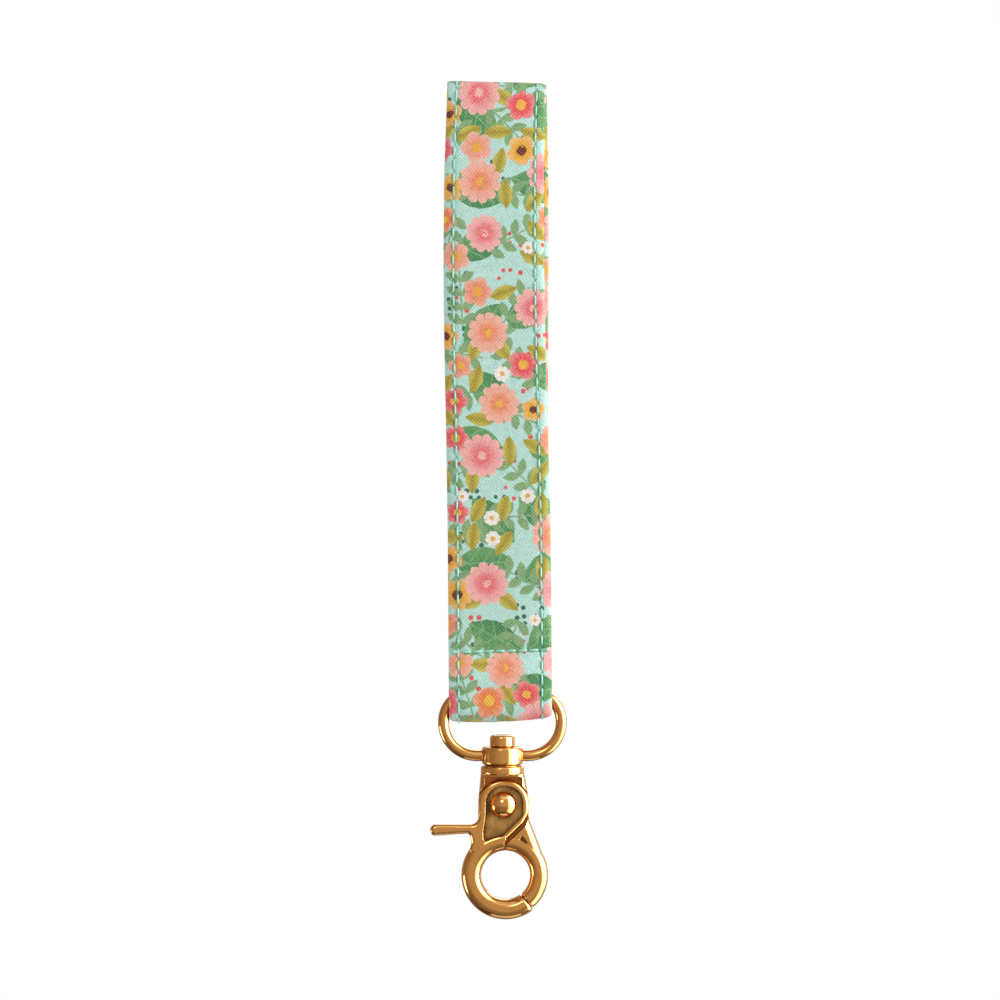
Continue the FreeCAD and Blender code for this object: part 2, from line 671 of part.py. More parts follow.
def make_trigger_gate():
    body = new_body("trigger_gate")
    tip_foot = "-(lever_top + lever_thickness)"
    root_foot = "-(lever_top + lever_root)"
    outer = "eye_radius + gate_section_width"
    plate = new_sketch(body, "plate_outline", "XZ_Plane", "plate_gap")
    add_outline(plate, [
        ("-head_radius", "head_radius", "head_radius * 0.985"),
        ("head_radius", "head_radius", "head_radius * 0.985"),
        ("head_radius * 0.985", "-head_radius * 0.3", "cheek_blend"),
        (CHEEK_X, f"-{CHEEK_Z}", "cheek_blend"),
        (PLATE_TOE, f"-{TOE_TOP}", "toe_round"),
        (PLATE_TOE, f"-({TOE_TOP} + toe_round * 2)", "0"),
        (*about_eye("web_waist_angle - 4", f"{GATE_FLAT} * 0.93"), "0"),
        (*about_eye("web_foot_angle", f"{GATE_FLAT} * 1.01"), "0"),
        (*about_eye("web_foot_angle - 3", f"{outer} * 0.985"), "lever_blend / 4"),
        (*about_eye("web_waist_angle", f"{outer} + web_waist"), "lever_blend / 2"),
        ("-web_half_width", root_foot, "lever_blend / 2"),
        ("-lever_reach", tip_foot, "lever_round"),
        ("-lever_reach", "-lever_top", "lever_round"),
        ("-head_radius * 0.985", "-lever_top", "lever_blend"),
    ])
    add_feature(body, "PartDesign::Pad", "plate", plate, Length="half_depth - plate_gap")
    round_edges(body, "plate_rounds", "gate_edge_round", plate_edge)
    arc = eye_section(body, "gate_arc_section", "gate_section_width")
    add_turning(body, "gate_arc", arc, f"-{EYE_DROP}", "H_Axis",
                "270 - mouth_angle - mouth_gap_angle", reverse=True)
    round_edges(body, "tip_rounds", "gate_tip_round", mouth_edge(number("mouth_gap_angle")))
    trim_gate(body)
    cut_gate_face(body)
    place_on_pivot(body)
    return body


def plate_edge(middle, edge):
    """Edges of the plate's front face, and of the lever's back, off the eye's arc."""
    on_front = abs(middle.y + number("half_depth")) < 1e-4
    on_back = abs(middle.y + number("plate_gap")) < 1e-4
    on_lever = middle.x < -number("web_half_width") - 0.5
    low = middle.z < -number(f"{TOE_TOP} + 0.2")
    in_eye = low and middle.x > -number("web_half_width") + 0.2
    last = middle.z < -number(f"{EYE_DROP} - {GATE_FLAT} * 0.55")
    return (on_front and not in_eye and not last) or (on_back and on_lever)


def trim_gate(body):
    """Square off the arc's upper end and clear its back for the hook's back plate."""
    end = new_sketch(body, "top_parting_outline", "XZ_Plane")
    far = f"({PLATE_TOE} + {CHEEK_X}) / 2"
    foot = "-(eye_top_drop + 2)"
    add_outline(end, [
        (PLATE_TOE, f"-{TOE_TOP}", "0"),
        (far, f"-({TOE_TOP} + {CHEEK_Z}) / 2", "0"),
        (far, foot, "0"),
        (PLATE_TOE, foot, "0"),
    ])
    add_feature(body, "PartDesign::Pocket", "top_parting", end, SideType="Symmetric", Length="half_depth * 4")
    lap = new_sketch(body, "top_lap_outline", "XZ_Plane", "plate_gap")
    near = f"({PLATE_TOE} - {EYE_OUTER} * sin(top_lap_angle) - top_lap_gap)"
    add_outline(lap, [
        (near, f"-{TOE_TOP}", "0"),
        (far, f"-{TOE_TOP}", "0"),
        (far, foot, "0"),
        (near, foot, "0"),
    ])
    add_feature(body, "PartDesign::Pocket", "top_lap", lap, Length="half_depth * 2")
    back = new_sketch(body, "back_sweep_circle", "XZ_Plane", "plate_gap")
    add_circle(back, "0", "0", "back_plate_radius + sweep_clearance")
    add_feature(body, "PartDesign::Pocket", "back_sweep", back, Length="half_depth * 2")


def cut_gate_face(body):
    """The dished face, the rivet's bore and the track of the spring's peg."""
    dish = new_sketch(body, "dish_outline", "XZ_Plane", "half_depth")
    left = "-(head_radius - rim_width - 0.25)"
    right = "head_radius - rim_width + 0.1"
    top = "head_radius - rim_width"
    add_outline(dish, [
        (left, top, "head_radius * 0.69"),
        (right, top, "head_radius * 0.69"),
        (right, f"-({CHEEK_Z} - rim_width * 9 / 8)", "dish_corner * 0.9"),
        (f"{PLATE_TOE} - rim_width / 2", f"-({TOE_TOP} - rim_width * 0.6)", "toe_round * 2"),
        ("-(web_half_width - rim_width * 2.1)", f"-({TOE_TOP} + rim_width / 8)", "dish_corner / 2"),
        ("-(web_half_width - rim_width * 2.1)", "-(lever_top + lever_root * 0.85)", "dish_corner"),
        (left, f"-{CHEEK_Z} / 2", "dish_corner * 1.2"),
    ])
    add_feature(body, "PartDesign::Pocket", "dish", dish, Length="dish_depth")
    hole = new_sketch(body, "gate_bore_circle", "XZ_Plane")
    add_circle(hole, "0", "0", "rivet_diameter / 2 + rivet_running_gap")
    add_feature(body, "PartDesign::Pocket", "gate_bore", hole, SideType="Symmetric", Length="half_depth * 4")
    track = new_sketch(body, "peg_track_section", "YZ_Plane")
    near = f"-({COIL_RADIUS} - spring_wire / 2 - spring_clearance / 2)"
    far = f"-({COIL_RADIUS} + spring_wire / 2 + spring_clearance / 2)"
    deep = "-(plate_gap + spring_peg + spring_clearance)"
    add_outline(track, [
        ("0", near, "0"),
        ("0", far, "0"),
        (deep, far, "spring_wire / 4"),
        (deep, near, "spring_wire / 4"),
    ])
    groove = add_feature(body, "PartDesign::Groove", "peg_track", track, ReferenceAxis=(track, ["H_Axis"]))
    groove.Type = "TwoAngles"
    bind(groove, "Angle", "gate_travel * 2 / 5")
    bind(groove, "Angle2", "gate_travel * 3 / 2")


# ---------------------------------------------------------------- pivot rivet
# A domed rivet: the dome lies in the trigger's dish, the shank passes through the trigger and the
# back plate, and its tail is spread behind.

def make_pivot_rivet():
    body = new_body("pivot_rivet")
    seat = "-(half_depth - dish_depth + rivet_running_gap)"
    front = f"({seat} - rivet_head_height)"
    back = "half_depth"
    section = new_sketch(body, "rivet_section", "XY_Plane")
    radius = number("rivet_head_diameter / 2")
    rise = number("rivet_head_height")
    ball = (radius ** 2 + rise ** 2) / (2 * rise)
    crown = Vector(0, number(front), 0)
    rim = Vector(radius, number(seat), 0)
    centre = crown + Vector(0, ball, 0)
    midway = (crown + rim) / 2 - centre
    middle = centre + midway.normalize() * ball
    arc = section.addGeometry(Part.Arc(crown, middle, rim))
    points = [
        rim,
        Vector(number("rivet_diameter / 2"), number(seat), 0),
        Vector(number("rivet_diameter / 2"), number(back), 0),
        Vector(number("rivet_tail_diameter / 2"), number(back), 0),
        Vector(number("rivet_tail_diameter / 2 - rivet_tail_height / 2"),
               number(f"{back} + rivet_tail_height"), 0),
        Vector(0, number(f"{back} + rivet_tail_height"), 0),
        crown,
    ]
    lines = [section.addGeometry(Part.LineSegment(a, b)) for a, b in zip(points, points[1:])]
    for before, after in zip(lines, lines[1:]):
        section.addConstraint(Sketcher.Constraint("Coincident", before, 2, after, 1))
    forward = section.Geometry[arc].StartPoint.distanceToPoint(crown) < 1e-6
    section.addConstraint(Sketcher.Constraint("Coincident", lines[0], 1, arc, 2 if forward else 1))
    section.addConstraint(Sketcher.Constraint("Coincident", lines[-1], 2, arc, 1 if forward else 2))
    section.addConstraint(Sketcher.Constraint("PointOnObject", arc, 3, -2))
    places = [
        ("rivet_head_diameter / 2", seat),
        ("rivet_diameter / 2", seat),
        ("rivet_diameter / 2", back),
        ("rivet_tail_diameter / 2", back),
        ("rivet_tail_diameter / 2 - rivet_tail_height / 2", f"{back} + rivet_tail_height"),
        ("0", f"{back} + rivet_tail_height"),
    ]
    for line, (x, y) in zip(lines, places):
        fix_point(section, (line, 1), x, y)
    fix_point(section, (lines[-1], 2), "0", front)
    add_turning(body, "rivet", section)
    place_on_pivot(body)
    return body


# ---------------------------------------------------------------- return spring
# A torsion spring of round steel wire coiled round the rivet in the back plate's pocket. Its rear leg
# lies in the plate's slot, and its front end is bent forward as a peg into the trigger's track.

def make_return_spring():
    wire = number("spring_wire / 2")
    coil = number(COIL_RADIUS)
    pitch = number("spring_pitch")
    turns = number("spring_turns")
    front = number("spring_clearance + spring_wire / 2")
    helix = Part.makeHelix(pitch, pitch * turns, coil)
    start = helix.Edges[0].valueAt(helix.Edges[0].FirstParameter)
    heading = helix.Edges[0].tangentAt(helix.Edges[0].FirstParameter)
    section = Part.Wire(Part.makeCircle(wire, start, heading))
    spring = Part.Wire(helix.Edges).makePipeShell([section], True, True)
    end_angle = math.radians(360 * turns)
    end = Vector(coil * math.cos(end_angle), coil * math.sin(end_angle), pitch * turns)
    outward = Vector(math.cos(end_angle), math.sin(end_angle), 0)
    leg = Part.makeCylinder(wire, number("spring_leg"), end, outward)
    peg = Part.makeCylinder(wire, number("spring_peg + plate_gap") + front, start, Vector(0, 0, -1))
    bends = [Part.makeSphere(wire, start), Part.makeSphere(wire, end)]
    spring = spring.fuse([leg, peg] + bends).removeSplitter()
    piece = doc.addObject("Part::Feature", "return_spring")
    # The coil's axis is turned to run from front to back, its front end at the foot of the coil.
    turn = Rotation(Vector(1, 0, 0), -90) * Rotation(Vector(0, 0, 1), 90)
    piece.Shape = spring.Solids[0]
    piece.Placement = Placement(Vector(number("pivot_offset"), front, -number(PIVOT_DROP)), turn)
    return piece


# ---------------------------------------------------------------- build, check and write

def main():
    pieces = make_strap()
    pieces += [make_eye(), make_swivel_pin(), make_hook_body(), make_trigger_gate()]
    pieces += [make_pivot_rivet(), make_return_spring()]
    doc.recompute()
    for obj in doc.Objects:
        if "Invalid" in obj.State or "Error" in obj.State:
            raise RuntimeError(f"{obj.Name} failed: {obj.State}")
    os.makedirs("parts", exist_ok=True)
    for piece in pieces:
        shape = piece.Shape
        if shape.isNull() or not shape.isValid() or len(shape.Solids) == 0:
            raise RuntimeError(f"{piece.Label} has no sound shape")
    for piece in pieces:
        piece.Shape.exportStep(os.path.join("parts", f"{piece.Label}.step"))
        box = piece.Shape.BoundBox
        size = f"{box.XLength:.1f} x {box.YLength:.1f} x {box.ZLength:.1f}"
        print(f"{piece.Label}: {len(piece.Shape.Solids)} solid, {piece.Shape.Volume:.1f} mm3, {size}")


main()
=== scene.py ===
import math
import bmesh
import bpy
import numpy as np
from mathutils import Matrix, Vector, noise


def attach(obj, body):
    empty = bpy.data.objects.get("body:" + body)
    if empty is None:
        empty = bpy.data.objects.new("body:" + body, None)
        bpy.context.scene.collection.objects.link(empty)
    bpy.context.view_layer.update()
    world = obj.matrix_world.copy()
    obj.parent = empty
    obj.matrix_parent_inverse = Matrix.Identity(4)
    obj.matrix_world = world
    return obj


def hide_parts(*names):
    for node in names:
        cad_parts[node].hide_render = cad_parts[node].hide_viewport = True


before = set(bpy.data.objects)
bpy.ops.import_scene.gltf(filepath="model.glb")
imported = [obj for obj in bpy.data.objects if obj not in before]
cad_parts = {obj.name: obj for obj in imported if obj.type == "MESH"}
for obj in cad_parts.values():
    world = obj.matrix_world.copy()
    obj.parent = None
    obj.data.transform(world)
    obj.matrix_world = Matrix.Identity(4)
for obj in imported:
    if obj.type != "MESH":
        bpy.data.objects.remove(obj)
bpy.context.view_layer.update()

# ---------------------------------------------------------------------------------------------
# Strap. A strip of printed cotton folded round a webbing core, its raw edges turned in along the
# right edge, bent over at the top and seamed into a long loop. It hangs a little off true, with
# the back layer showing past the front one at the right, and its foot folds under the metal eye.

# Its sizes are in millimetres.
MM = 0.001
STRAP_HALF_WIDTH = 12.5
STRAP_HALF_THICKNESS = 0.98
EDGE_ROUND = 2.5
STITCH_INSET = 2.4
STITCH_PITCH = 3.3
SEAM_DROP = 136.7
ROW_STEP = 0.55

# The middle line of the band seen from its edge: (distance behind, height, bend radius).
SIDE_CORNERS = [
    (-3.2, 1.0, 3.18),
    (-5.3, -40.0, 300.0),
    (-1.05, -135.0, 60.0),
    (-1.05, -138.0, 6.0),
    (-2.7, -142.5, 6.0),
    (-2.7, -153.0, 2.66),
]

# How each layer hangs: at a height, how far its middle stands to the right, and its half width.
FRONT_LEAN = [(-154, -0.42, 12.5), (-146, -0.5, 12.6), (-130, -0.62, 12.6), (-108, -0.8, 12.55),
              (-85, -1.25, 12.45), (-62, -1.85, 12.3), (-41, -2.1, 12.25), (-20, -2.0, 12.15),
              (-6, -1.6, 12.05), (2, -1.32, 12.1)]
BACK_LEAN = [(-154, -0.42, 12.5), (-146, -0.5, 12.6), (-130, -0.62, 12.6), (-108, -0.85, 12.5),
             (-85, -1.15, 12.4), (-62, -1.1, 12.35), (-41, -0.95, 12.3), (-20, -0.95, 12.25),
             (-6, -1.15, 12.15), (2, -1.32, 12.1)]
LAYER_BLEND = 2.4

# The sewing draws the cloth down by these shares of its thickness.
ROW_GROOVE, ROW_GROOVE_WIDTH = 0.2, 0.42
PUCKER, PUCKER_WIDTH = 0.08, 1.5
SEAM_GROOVE, SEAM_GROOVE_WIDTH = 0.3, 0.7

# Handling has left slow waves and small ripples: their height, and how many to a millimetre.
WAVE_HEIGHT, WAVES_ACROSS, WAVES_ALONG = 0.16, 0.09, 0.055
RIPPLE_HEIGHT, RIPPLES_ACROSS, RIPPLES_ALONG = 0.07, 0.3, 0.16

# Below FOOT_TOP the fold is pulled up at the right and sags at the left. The fold at the top is
# squarer outside than inside, and slants.
FOOT_TOP, FOOT_BLEND, FOOT_RISE, FOOT_SAG = -146, 4, 1.1, 0.15
TOP_BLEND, TOP_SQUARENESS, TOP_SLANT = 3, 0.55, 0.026


def rounded_loop(corners, step):
    """Points along a closed run of straights and arcs, one step apart, and their distances."""
    flat = [Vector((y, z)) for y, z, _ in corners]
    points = []
    for i, (_, _, radius) in enumerate(corners):
        corner = flat[i]
        back = (flat[i - 1] - corner).normalized()
        ahead = (flat[(i + 1) % len(flat)] - corner).normalized()
        half = back.angle(ahead) / 2
        centre = corner + (back + ahead).normalized() * (radius / math.sin(half))
        start = corner + back * (radius / math.tan(half)) - centre
        sweep = start.angle_signed(corner + ahead * (radius / math.tan(half)) - centre)
        count = max(3, int(abs(sweep) * radius / step * 3))
        for k in range(count + 1):
            turn = -sweep * k / count
            x, y = start
            points.append((centre.x + x * math.cos(turn) - y * math.sin(turn),
                           centre.y + x * math.sin(turn) + y * math.cos(turn)))
    line = np.array(points + points[:1])
    gaps = np.hypot(*np.diff(line, axis=0).T)
    line = line[np.append(True, gaps > 1e-9)]
    along = np.append(0, np.cumsum(np.hypot(*np.diff(line, axis=0).T)))
    places = np.linspace(0, along[-1], int(round(along[-1] / step)) + 1)
    return places, np.interp(places, along, line[:, 0]), np.interp(places, along, line[:, 1])


# The band's middle line starts and ends at its highest point.
back_corners = [(-y, z, radius) for y, z, radius in reversed(SIDE_CORNERS)]
band_s, band_y, band_z = rounded_loop(SIDE_CORNERS + back_corners, ROW_STEP)
shift = np.argmax(band_z)
band_y = np.roll(band_y[:-1], -shift)
band_z = np.roll(band_z[:-1], -shift)
band_y, band_z = np.append(band_y, band_y[0]), np.append(band_z, band_z[0])
BAND_LENGTH = band_s[-1]
slope_y = np.gradient(np.concatenate([band_y[-3:-1], band_y, band_y[1:3]]))[2:-2]
slope_z = np.gradient(np.concatenate([band_z[-3:-1], band_z, band_z[1:3]]))[2:-2]
slope = np.hypot(slope_y, slope_z)
out_y, out_z = slope_z / slope, -slope_y / slope
front_half = slice(len(band_z) // 2)
seam_front = float(np.interp(SEAM_DROP, -band_z[front_half], band_s[front_half]))
seam_back = BAND_LENGTH - seam_front
stitch_x = STRAP_HALF_WIDTH - STITCH_INSET


def hang(across, height, along):
    """Where a point of the band hangs, in metres. Its distance across from the band's middle, its
    height off the middle line and its distance along that line are in millimetres."""
    along = along % BAND_LENGTH
    y, z = np.interp(along, band_s, band_y), np.interp(along, band_s, band_z)
    ny, nz = np.interp(along, band_s, out_y), np.interp(along, band_s, out_z)
    front_share = min(max(0.5 - y / LAYER_BLEND, 0), 1)
    middle, half = 0.0, 0.0
    for share, layer in ((front_share, FRONT_LEAN), (1 - front_share, BACK_LEAN)):
        heights, middles, halves = np.array(layer).T
        middle += share * np.interp(z, heights, middles)
        half += share * np.interp(z, heights, halves)
    x = middle + across * half / STRAP_HALF_WIDTH
    off_row = abs(across) - stitch_x
    groove = ROW_GROOVE * math.exp(-(off_row / ROW_GROOVE_WIDTH) ** 2)
    between = (1 - math.cos(2 * math.pi * along / STITCH_PITCH)) / 2
    groove += PUCKER * math.exp(-(off_row / PUCKER_WIDTH) ** 2) * between
    for seam in (seam_front, seam_back):
        groove += SEAM_GROOVE * math.exp(-((along - seam) / SEAM_GROOVE_WIDTH) ** 2)
    wave = WAVE_HEIGHT * noise.noise(Vector((across * WAVES_ACROSS, along * WAVES_ALONG, 3.0)))
    wave += RIPPLE_HEIGHT * noise.noise(Vector((across * RIPPLES_ACROSS, along * RIPPLES_ALONG, 9.0)))
    foot = min(max((FOOT_TOP - z) / FOOT_BLEND, 0), 1)
    height = height * (1 - groove) + wave * (1 - foot)
    z += FOOT_RISE * foot * max(0, (across - 1) / STRAP_HALF_WIDTH) ** 1.5
    z -= FOOT_SAG * foot * (across < 0)
    top = min(max(1 + z / TOP_BLEND, 0), 1)
    if height > 0:
        height += TOP_SQUARENESS * top * (STRAP_HALF_THICKNESS - height)
    z -= TOP_SLANT * top * across
    return Vector((x, y + ny * height, z + nz * height)) * MM


# The band's section: two flat faces between rounded edges, with rows of points close together
# where the stitches draw the cloth down.
flat_x = [0, 1.6, 3.2, 4.8, 6.4, 7.8, 8.8, 9.5, 9.85, 10.1, 10.3, 10.45, 10.55]
flat_x = [-x for x in reversed(flat_x[1:])] + flat_x
edge_turns = [math.radians(angle) for angle in (75, 60, 45, 28, 10, -10, -28, -45, -60, -75)]
edge = [(STRAP_HALF_WIDTH - EDGE_ROUND * (1 - math.cos(turn)), STRAP_HALF_THICKNESS * math.sin(turn))
        for turn in edge_turns]
section = [(x, h) for x, h in edge if h > 0][::-1]
section += [(x, STRAP_HALF_THICKNESS) for x in reversed(flat_x)]
section += [(-x, h) for x, h in edge]
section += [(x, -STRAP_HALF_THICKNESS) for x in flat_x]
section += [(x, h) for x, h in edge if h < 0][::-1]
section.append(section[0])
girth = np.append(0, np.cumsum([math.dist(a, b) for a, b in zip(section, section[1:])]))
row_girths = []
for side in (1, -1):
    face = sorted((x, g) for (x, h), g in zip(section, girth) if h == side * STRAP_HALF_THICKNESS)
    row_girths += [float(np.interp(x, *np.array(face).T)) for x in (-stitch_x, stitch_x)]

# A flat grid, one row per step of the middle line, is given its place in the cloth as a UV map in
# millimetres, then rolled round the section and hung.
columns, rows = len(section) - 1, len(band_s) - 1
cloth = bmesh.new()
bmesh.ops.create_grid(cloth, x_segments=columns, y_segments=rows, size=0.5)
weave = cloth.loops.layers.uv.new("weave")
cells = {v: (round((v.co.x + 0.5) * columns), round((v.co.y + 0.5) * rows)) for v in cloth.verts}
for square in cloth.faces:
    for corner in square.loops:
        i, j = cells[corner.vert]
        corner[weave].uv = (girth[i], band_s[j])
for v, (i, j) in cells.items():
    v.co = hang(*section[i], band_s[j])
bmesh.ops.remove_doubles(cloth, verts=cloth.verts, dist=1e-6)
bmesh.ops.recalc_face_normals(cloth, faces=cloth.faces)
strap_mesh = bpy.data.meshes.new("printed_strap")
cloth.to_mesh(strap_mesh)
cloth.free()
strap_mesh.shade_smooth()
strap = bpy.data.objects.new("printed_strap", strap_mesh)
bpy.context.scene.collection.objects.link(strap)


def linear(code):
    """An sRGB hex colour as the linear colour that a shader takes."""
    parts = [int(code[i:i + 2], 16) / 255 for i in (1, 3, 5)]
    return tuple(c / 12.92 if c <= 0.04045 else ((c + 0.055) / 1.055) ** 2.4 for c in parts) + (1.0,)


def add(tree, kind, inputs=None, out=0, stops=(), steps=False, **settings):
    """Adds one node with its settings and links, and gives its output, or the node if out is None.
    A colour ramp has its hex stops spread evenly, blended or in steps."""
    node = tree.nodes.new(kind)
    for name, value in settings.items():
        setattr(node, name, value)
    for key, value in (inputs or {}).items():
        if isinstance(value, bpy.types.NodeSocket):
            tree.links.new(value, node.inputs[key])
        else:
            node.inputs[key].default_value = value
    if stops:
        node.color_ramp.interpolation = "CONSTANT" if steps else "LINEAR"
        while len(node.color_ramp.elements) < len(stops):
            node.color_ramp.elements.new(0.5)
        for i, code in enumerate(stops):
            node.color_ramp.elements[i].position = i / (len(stops) - (not steps))
            node.color_ramp.elements[i].color = linear(code)
    return node if out is None else node.outputs[out]


def new_material(name):
    """A material with an empty tree but for its output."""
    made = bpy.data.materials.new(name)
    made.use_nodes = True
    made.node_tree.nodes.clear()
    return made, made.node_tree, add(made.node_tree, "ShaderNodeOutputMaterial", out=None)


# Printed cotton: a plain weave, which gives the eye a matt, slightly fuzzy face with fine threads.
# The design is printed in soft watercolour tones: a scatter of simple blossoms, oval leaves,
# twigs and seeds over a mint ground. The UV map is in millimetres, so a noise's scale is the
# number of its waves to a millimetre. The outlines are soft, and tremble as a hand's would.
MINT = "#BCE2D5"
OUTLINE_BLUR = 0.1
TREMBLE, TREMBLE_WAVES = 0.55, 0.9
WASH_WAVES = 0.55
cotton, tree, surface = new_material("printed_cotton")
print_uv = add(tree, "ShaderNodeUVMap", uv_map="weave")
tremble = add(tree, "ShaderNodeTexNoise", {"Vector": print_uv, "Scale": TREMBLE_WAVES, "Detail": 2.0}, out=1)
tremble = add(tree, "ShaderNodeVectorMath", {0: tremble, 1: (0.5, 0.5, 0.5)}, operation="SUBTRACT")
tremble = add(tree, "ShaderNodeVectorMath", {0: tremble, "Scale": TREMBLE}, operation="SCALE")
drawn_uv = add(tree, "ShaderNodeVectorMath", {0: print_uv, 1: tremble}, operation="ADD")
wash = add(tree, "ShaderNodeTexNoise", {"Vector": print_uv, "Scale": WASH_WAVES, "Detail": 3.0})
design = add(tree, "ShaderNodeValToRGB", {0: wash}, stops=["#B4DDCF", MINT, "#C9E9DF"])

# The blossoms lie in three layers. Each says how far apart the blossoms are, how far they stray
# from a grid and where the grid starts, how deep the rim dips between the petals, which dice of
# 0 to 1 bear a blossom, and the room that it keeps clear of smaller things.
DOUBLE = {"spacing": 17.0, "jitter": 0.6, "start": (0.37, 0.81, 0.0), "notch": 0.2,
          "share": (0.0, 0.8), "room": 5.6}
LARGE = {"spacing": 9.0, "jitter": 0.55, "start": (0.63, 0.28, 0.0), "notch": 0.34,
         "share": (0.0, 0.56), "room": 4.6}
SMALL = {"spacing": 5.0, "jitter": 0.5, "start": (0.2, 0.9, 0.0), "notch": 0.2,
         "share": (0.4, 0.8), "room": 2.2}


def scatter(tree, where, spacing, jitter, start):
    """Motif places a spacing apart: the point's millimetres from its motif's middle, its turned
    place there, two dice, and where the motif's middle is on the cloth."""
    scaled = add(tree, "ShaderNodeMapping",
                 {"Vector": where, "Location": start, "Scale": (1 / spacing, 1 / spacing, 1.0)})
    cell = add(tree, "ShaderNodeTexVoronoi", {"Vector": scaled, "Scale": 1.0, "Randomness": jitter},
               out=None, voronoi_dimensions="2D")
    off = add(tree, "ShaderNodeVectorMath", {0: scaled, 1: cell.outputs["Position"]}, operation="SUBTRACT")
    off = add(tree, "ShaderNodeVectorMath", {0: off, "Scale": spacing}, operation="SCALE")
    dice = add(tree, "ShaderNodeSeparateColor", {0: cell.outputs["Color"]}, out=None)
    turn = add(tree, "ShaderNodeMath", {0: dice.outputs[0], 1: 6.283}, operation="MULTIPLY")
    off = add(tree, "ShaderNodeVectorRotate", {"Vector": off, "Angle": turn}, rotation_type="Z_AXIS")
    middle = add(tree, "ShaderNodeVectorMath", {0: cell.outputs["Position"], 1: start}, operation="SUBTRACT")
    middle = add(tree, "ShaderNodeVectorMath", {0: middle, "Scale": spacing}, operation="SCALE")
    return off, dice.outputs[1], dice.outputs[2], middle


def printed(tree, inside, dice, low, high):
    """A motif's mask, from how far inside its outline a point is, where its dice is low to high."""
    mask = add(tree, "ShaderNodeMapRange", {0: inside, 1: -OUTLINE_BLUR, 2: OUTLINE_BLUR})
    above = add(tree, "ShaderNodeMath", {0: dice, 1: low}, operation="GREATER_THAN")
    below = add(tree, "ShaderNodeMath", {0: dice, 1: high}, operation="LESS_THAN")
    chosen = add(tree, "ShaderNodeMath", {0: above, 1: below}, operation="MULTIPLY")
    return add(tree, "ShaderNodeMath", {0: mask, 1: chosen}, operation="MULTIPLY")


def clear_of(tree, mask, middle, layers, room):
    """The mask, without the motifs whose middle is nearer than that room to a layer's blossoms."""
    for layer in layers:
        off, dice, _, _ = scatter(tree, middle, layer["spacing"], layer["jitter"], layer["start"])
        away = add(tree, "ShaderNodeVectorMath", {0: off}, out=1, operation="LENGTH")
        far = add(tree, "ShaderNodeMath", {0: away, 1: layer["room"] + room}, operation="GREATER_THAN")
        bare = add(tree, "ShaderNodeMath", {0: dice, 1: layer["share"][1]}, operation="GREATER_THAN")
        clear = add(tree, "ShaderNodeMath", {0: far, 1: bare}, operation="MAXIMUM")
        mask = add(tree, "ShaderNodeMath", {0: mask, 1: clear}, operation="MULTIPLY")
    return mask


# Seeds: dots in loose drifts, coral in some and deep teal in others.
SEED_RADIUS = (0.45, 0.66)
off, dice, _, middle = scatter(tree, print_uv, spacing=2.2, jitter=0.55, start=(0.3, 0.7, 0.0))
size = add(tree, "ShaderNodeMapRange", {0: dice, 3: SEED_RADIUS[0], 4: SEED_RADIUS[1]})
away = add(tree, "ShaderNodeVectorMath", {0: off}, out=1, operation="LENGTH")
inside = add(tree, "ShaderNodeMath", {0: size, 1: away}, operation="SUBTRACT")
mask = add(tree, "ShaderNodeMapRange", {0: inside, 1: -OUTLINE_BLUR, 2: OUTLINE_BLUR})
drift = add(tree, "ShaderNodeTexNoise", {"Vector": middle, "Scale": 0.11, "Detail": 1.0})
drift = add(tree, "ShaderNodeMath", {0: drift, 1: 0.51}, operation="GREATER_THAN")
mask = add(tree, "ShaderNodeMath", {0: mask, 1: drift}, operation="MULTIPLY")
mask = clear_of(tree, mask, middle, (DOUBLE, LARGE), room=0.0)
teal = add(tree, "ShaderNodeTexNoise", {"Vector": middle, "Scale": 0.05, "Detail": 0.0})
teal = add(tree, "ShaderNodeMath", {0: teal, 1: 0.5}, operation="GREATER_THAN")
hue = add(tree, "ShaderNodeMix", {0: teal, 6: linear("#E4574F"), 7: linear("#2F6B58")}, out=2,
          data_type="RGBA")
design = add(tree, "ShaderNodeMix", {0: mask, 6: design, 7: hue}, out=2, data_type="RGBA")


def leaf_shape(tree, off, half_length, half_width):
    """How far inside a pointed oval leaf a point is, how far off its midrib, and its x and y."""
    part = add(tree, "ShaderNodeSeparateXYZ", {0: off}, out=None)
    share = add(tree, "ShaderNodeMath", {0: part.outputs[0], 1: half_length}, operation="DIVIDE")
    share = add(tree, "ShaderNodeMath", {0: share, 1: share}, operation="MULTIPLY")
    room = add(tree, "ShaderNodeMath", {0: 1.0, 1: share}, operation="SUBTRACT")
    room = add(tree, "ShaderNodeMath", {0: room, 1: half_width}, operation="MULTIPLY")
    rib = add(tree, "ShaderNodeMath", {0: part.outputs[1]}, operation="ABSOLUTE")
    return add(tree, "ShaderNodeMath", {0: room, 1: rib}, operation="SUBTRACT"), rib, part


# Broad leaves: deep green ovals with a pale midrib and side veins, lighter to one side.
SHADE_REACH = 3.5
VEIN_SLANT, VEIN_SPACING, VEIN_HALF_WIDTH, VEIN_STRENGTH = 0.75, 1.7, 0.12, 0.55
off, dice, _, _ = scatter(tree, drawn_uv, spacing=15.5, jitter=0.45, start=(0.15, 0.42, 0.0))
inside, rib, part = leaf_shape(tree, off, half_length=7.4, half_width=3.9)
mask = printed(tree, inside, dice, low=0.0, high=0.85)
shade = add(tree, "ShaderNodeMapRange", {0: part.outputs[1], 1: -SHADE_REACH, 2: SHADE_REACH})
shade = add(tree, "ShaderNodeMath", {0: shade, 1: wash}, operation="ADD")
shade = add(tree, "ShaderNodeMath", {0: shade, 1: 0.5}, operation="MULTIPLY")
hue = add(tree, "ShaderNodeValToRGB", {0: shade}, stops=["#3A784B", "#55935A", "#83AE69"])
vein = add(tree, "ShaderNodeMath", {0: rib, 1: VEIN_SLANT}, operation="MULTIPLY")
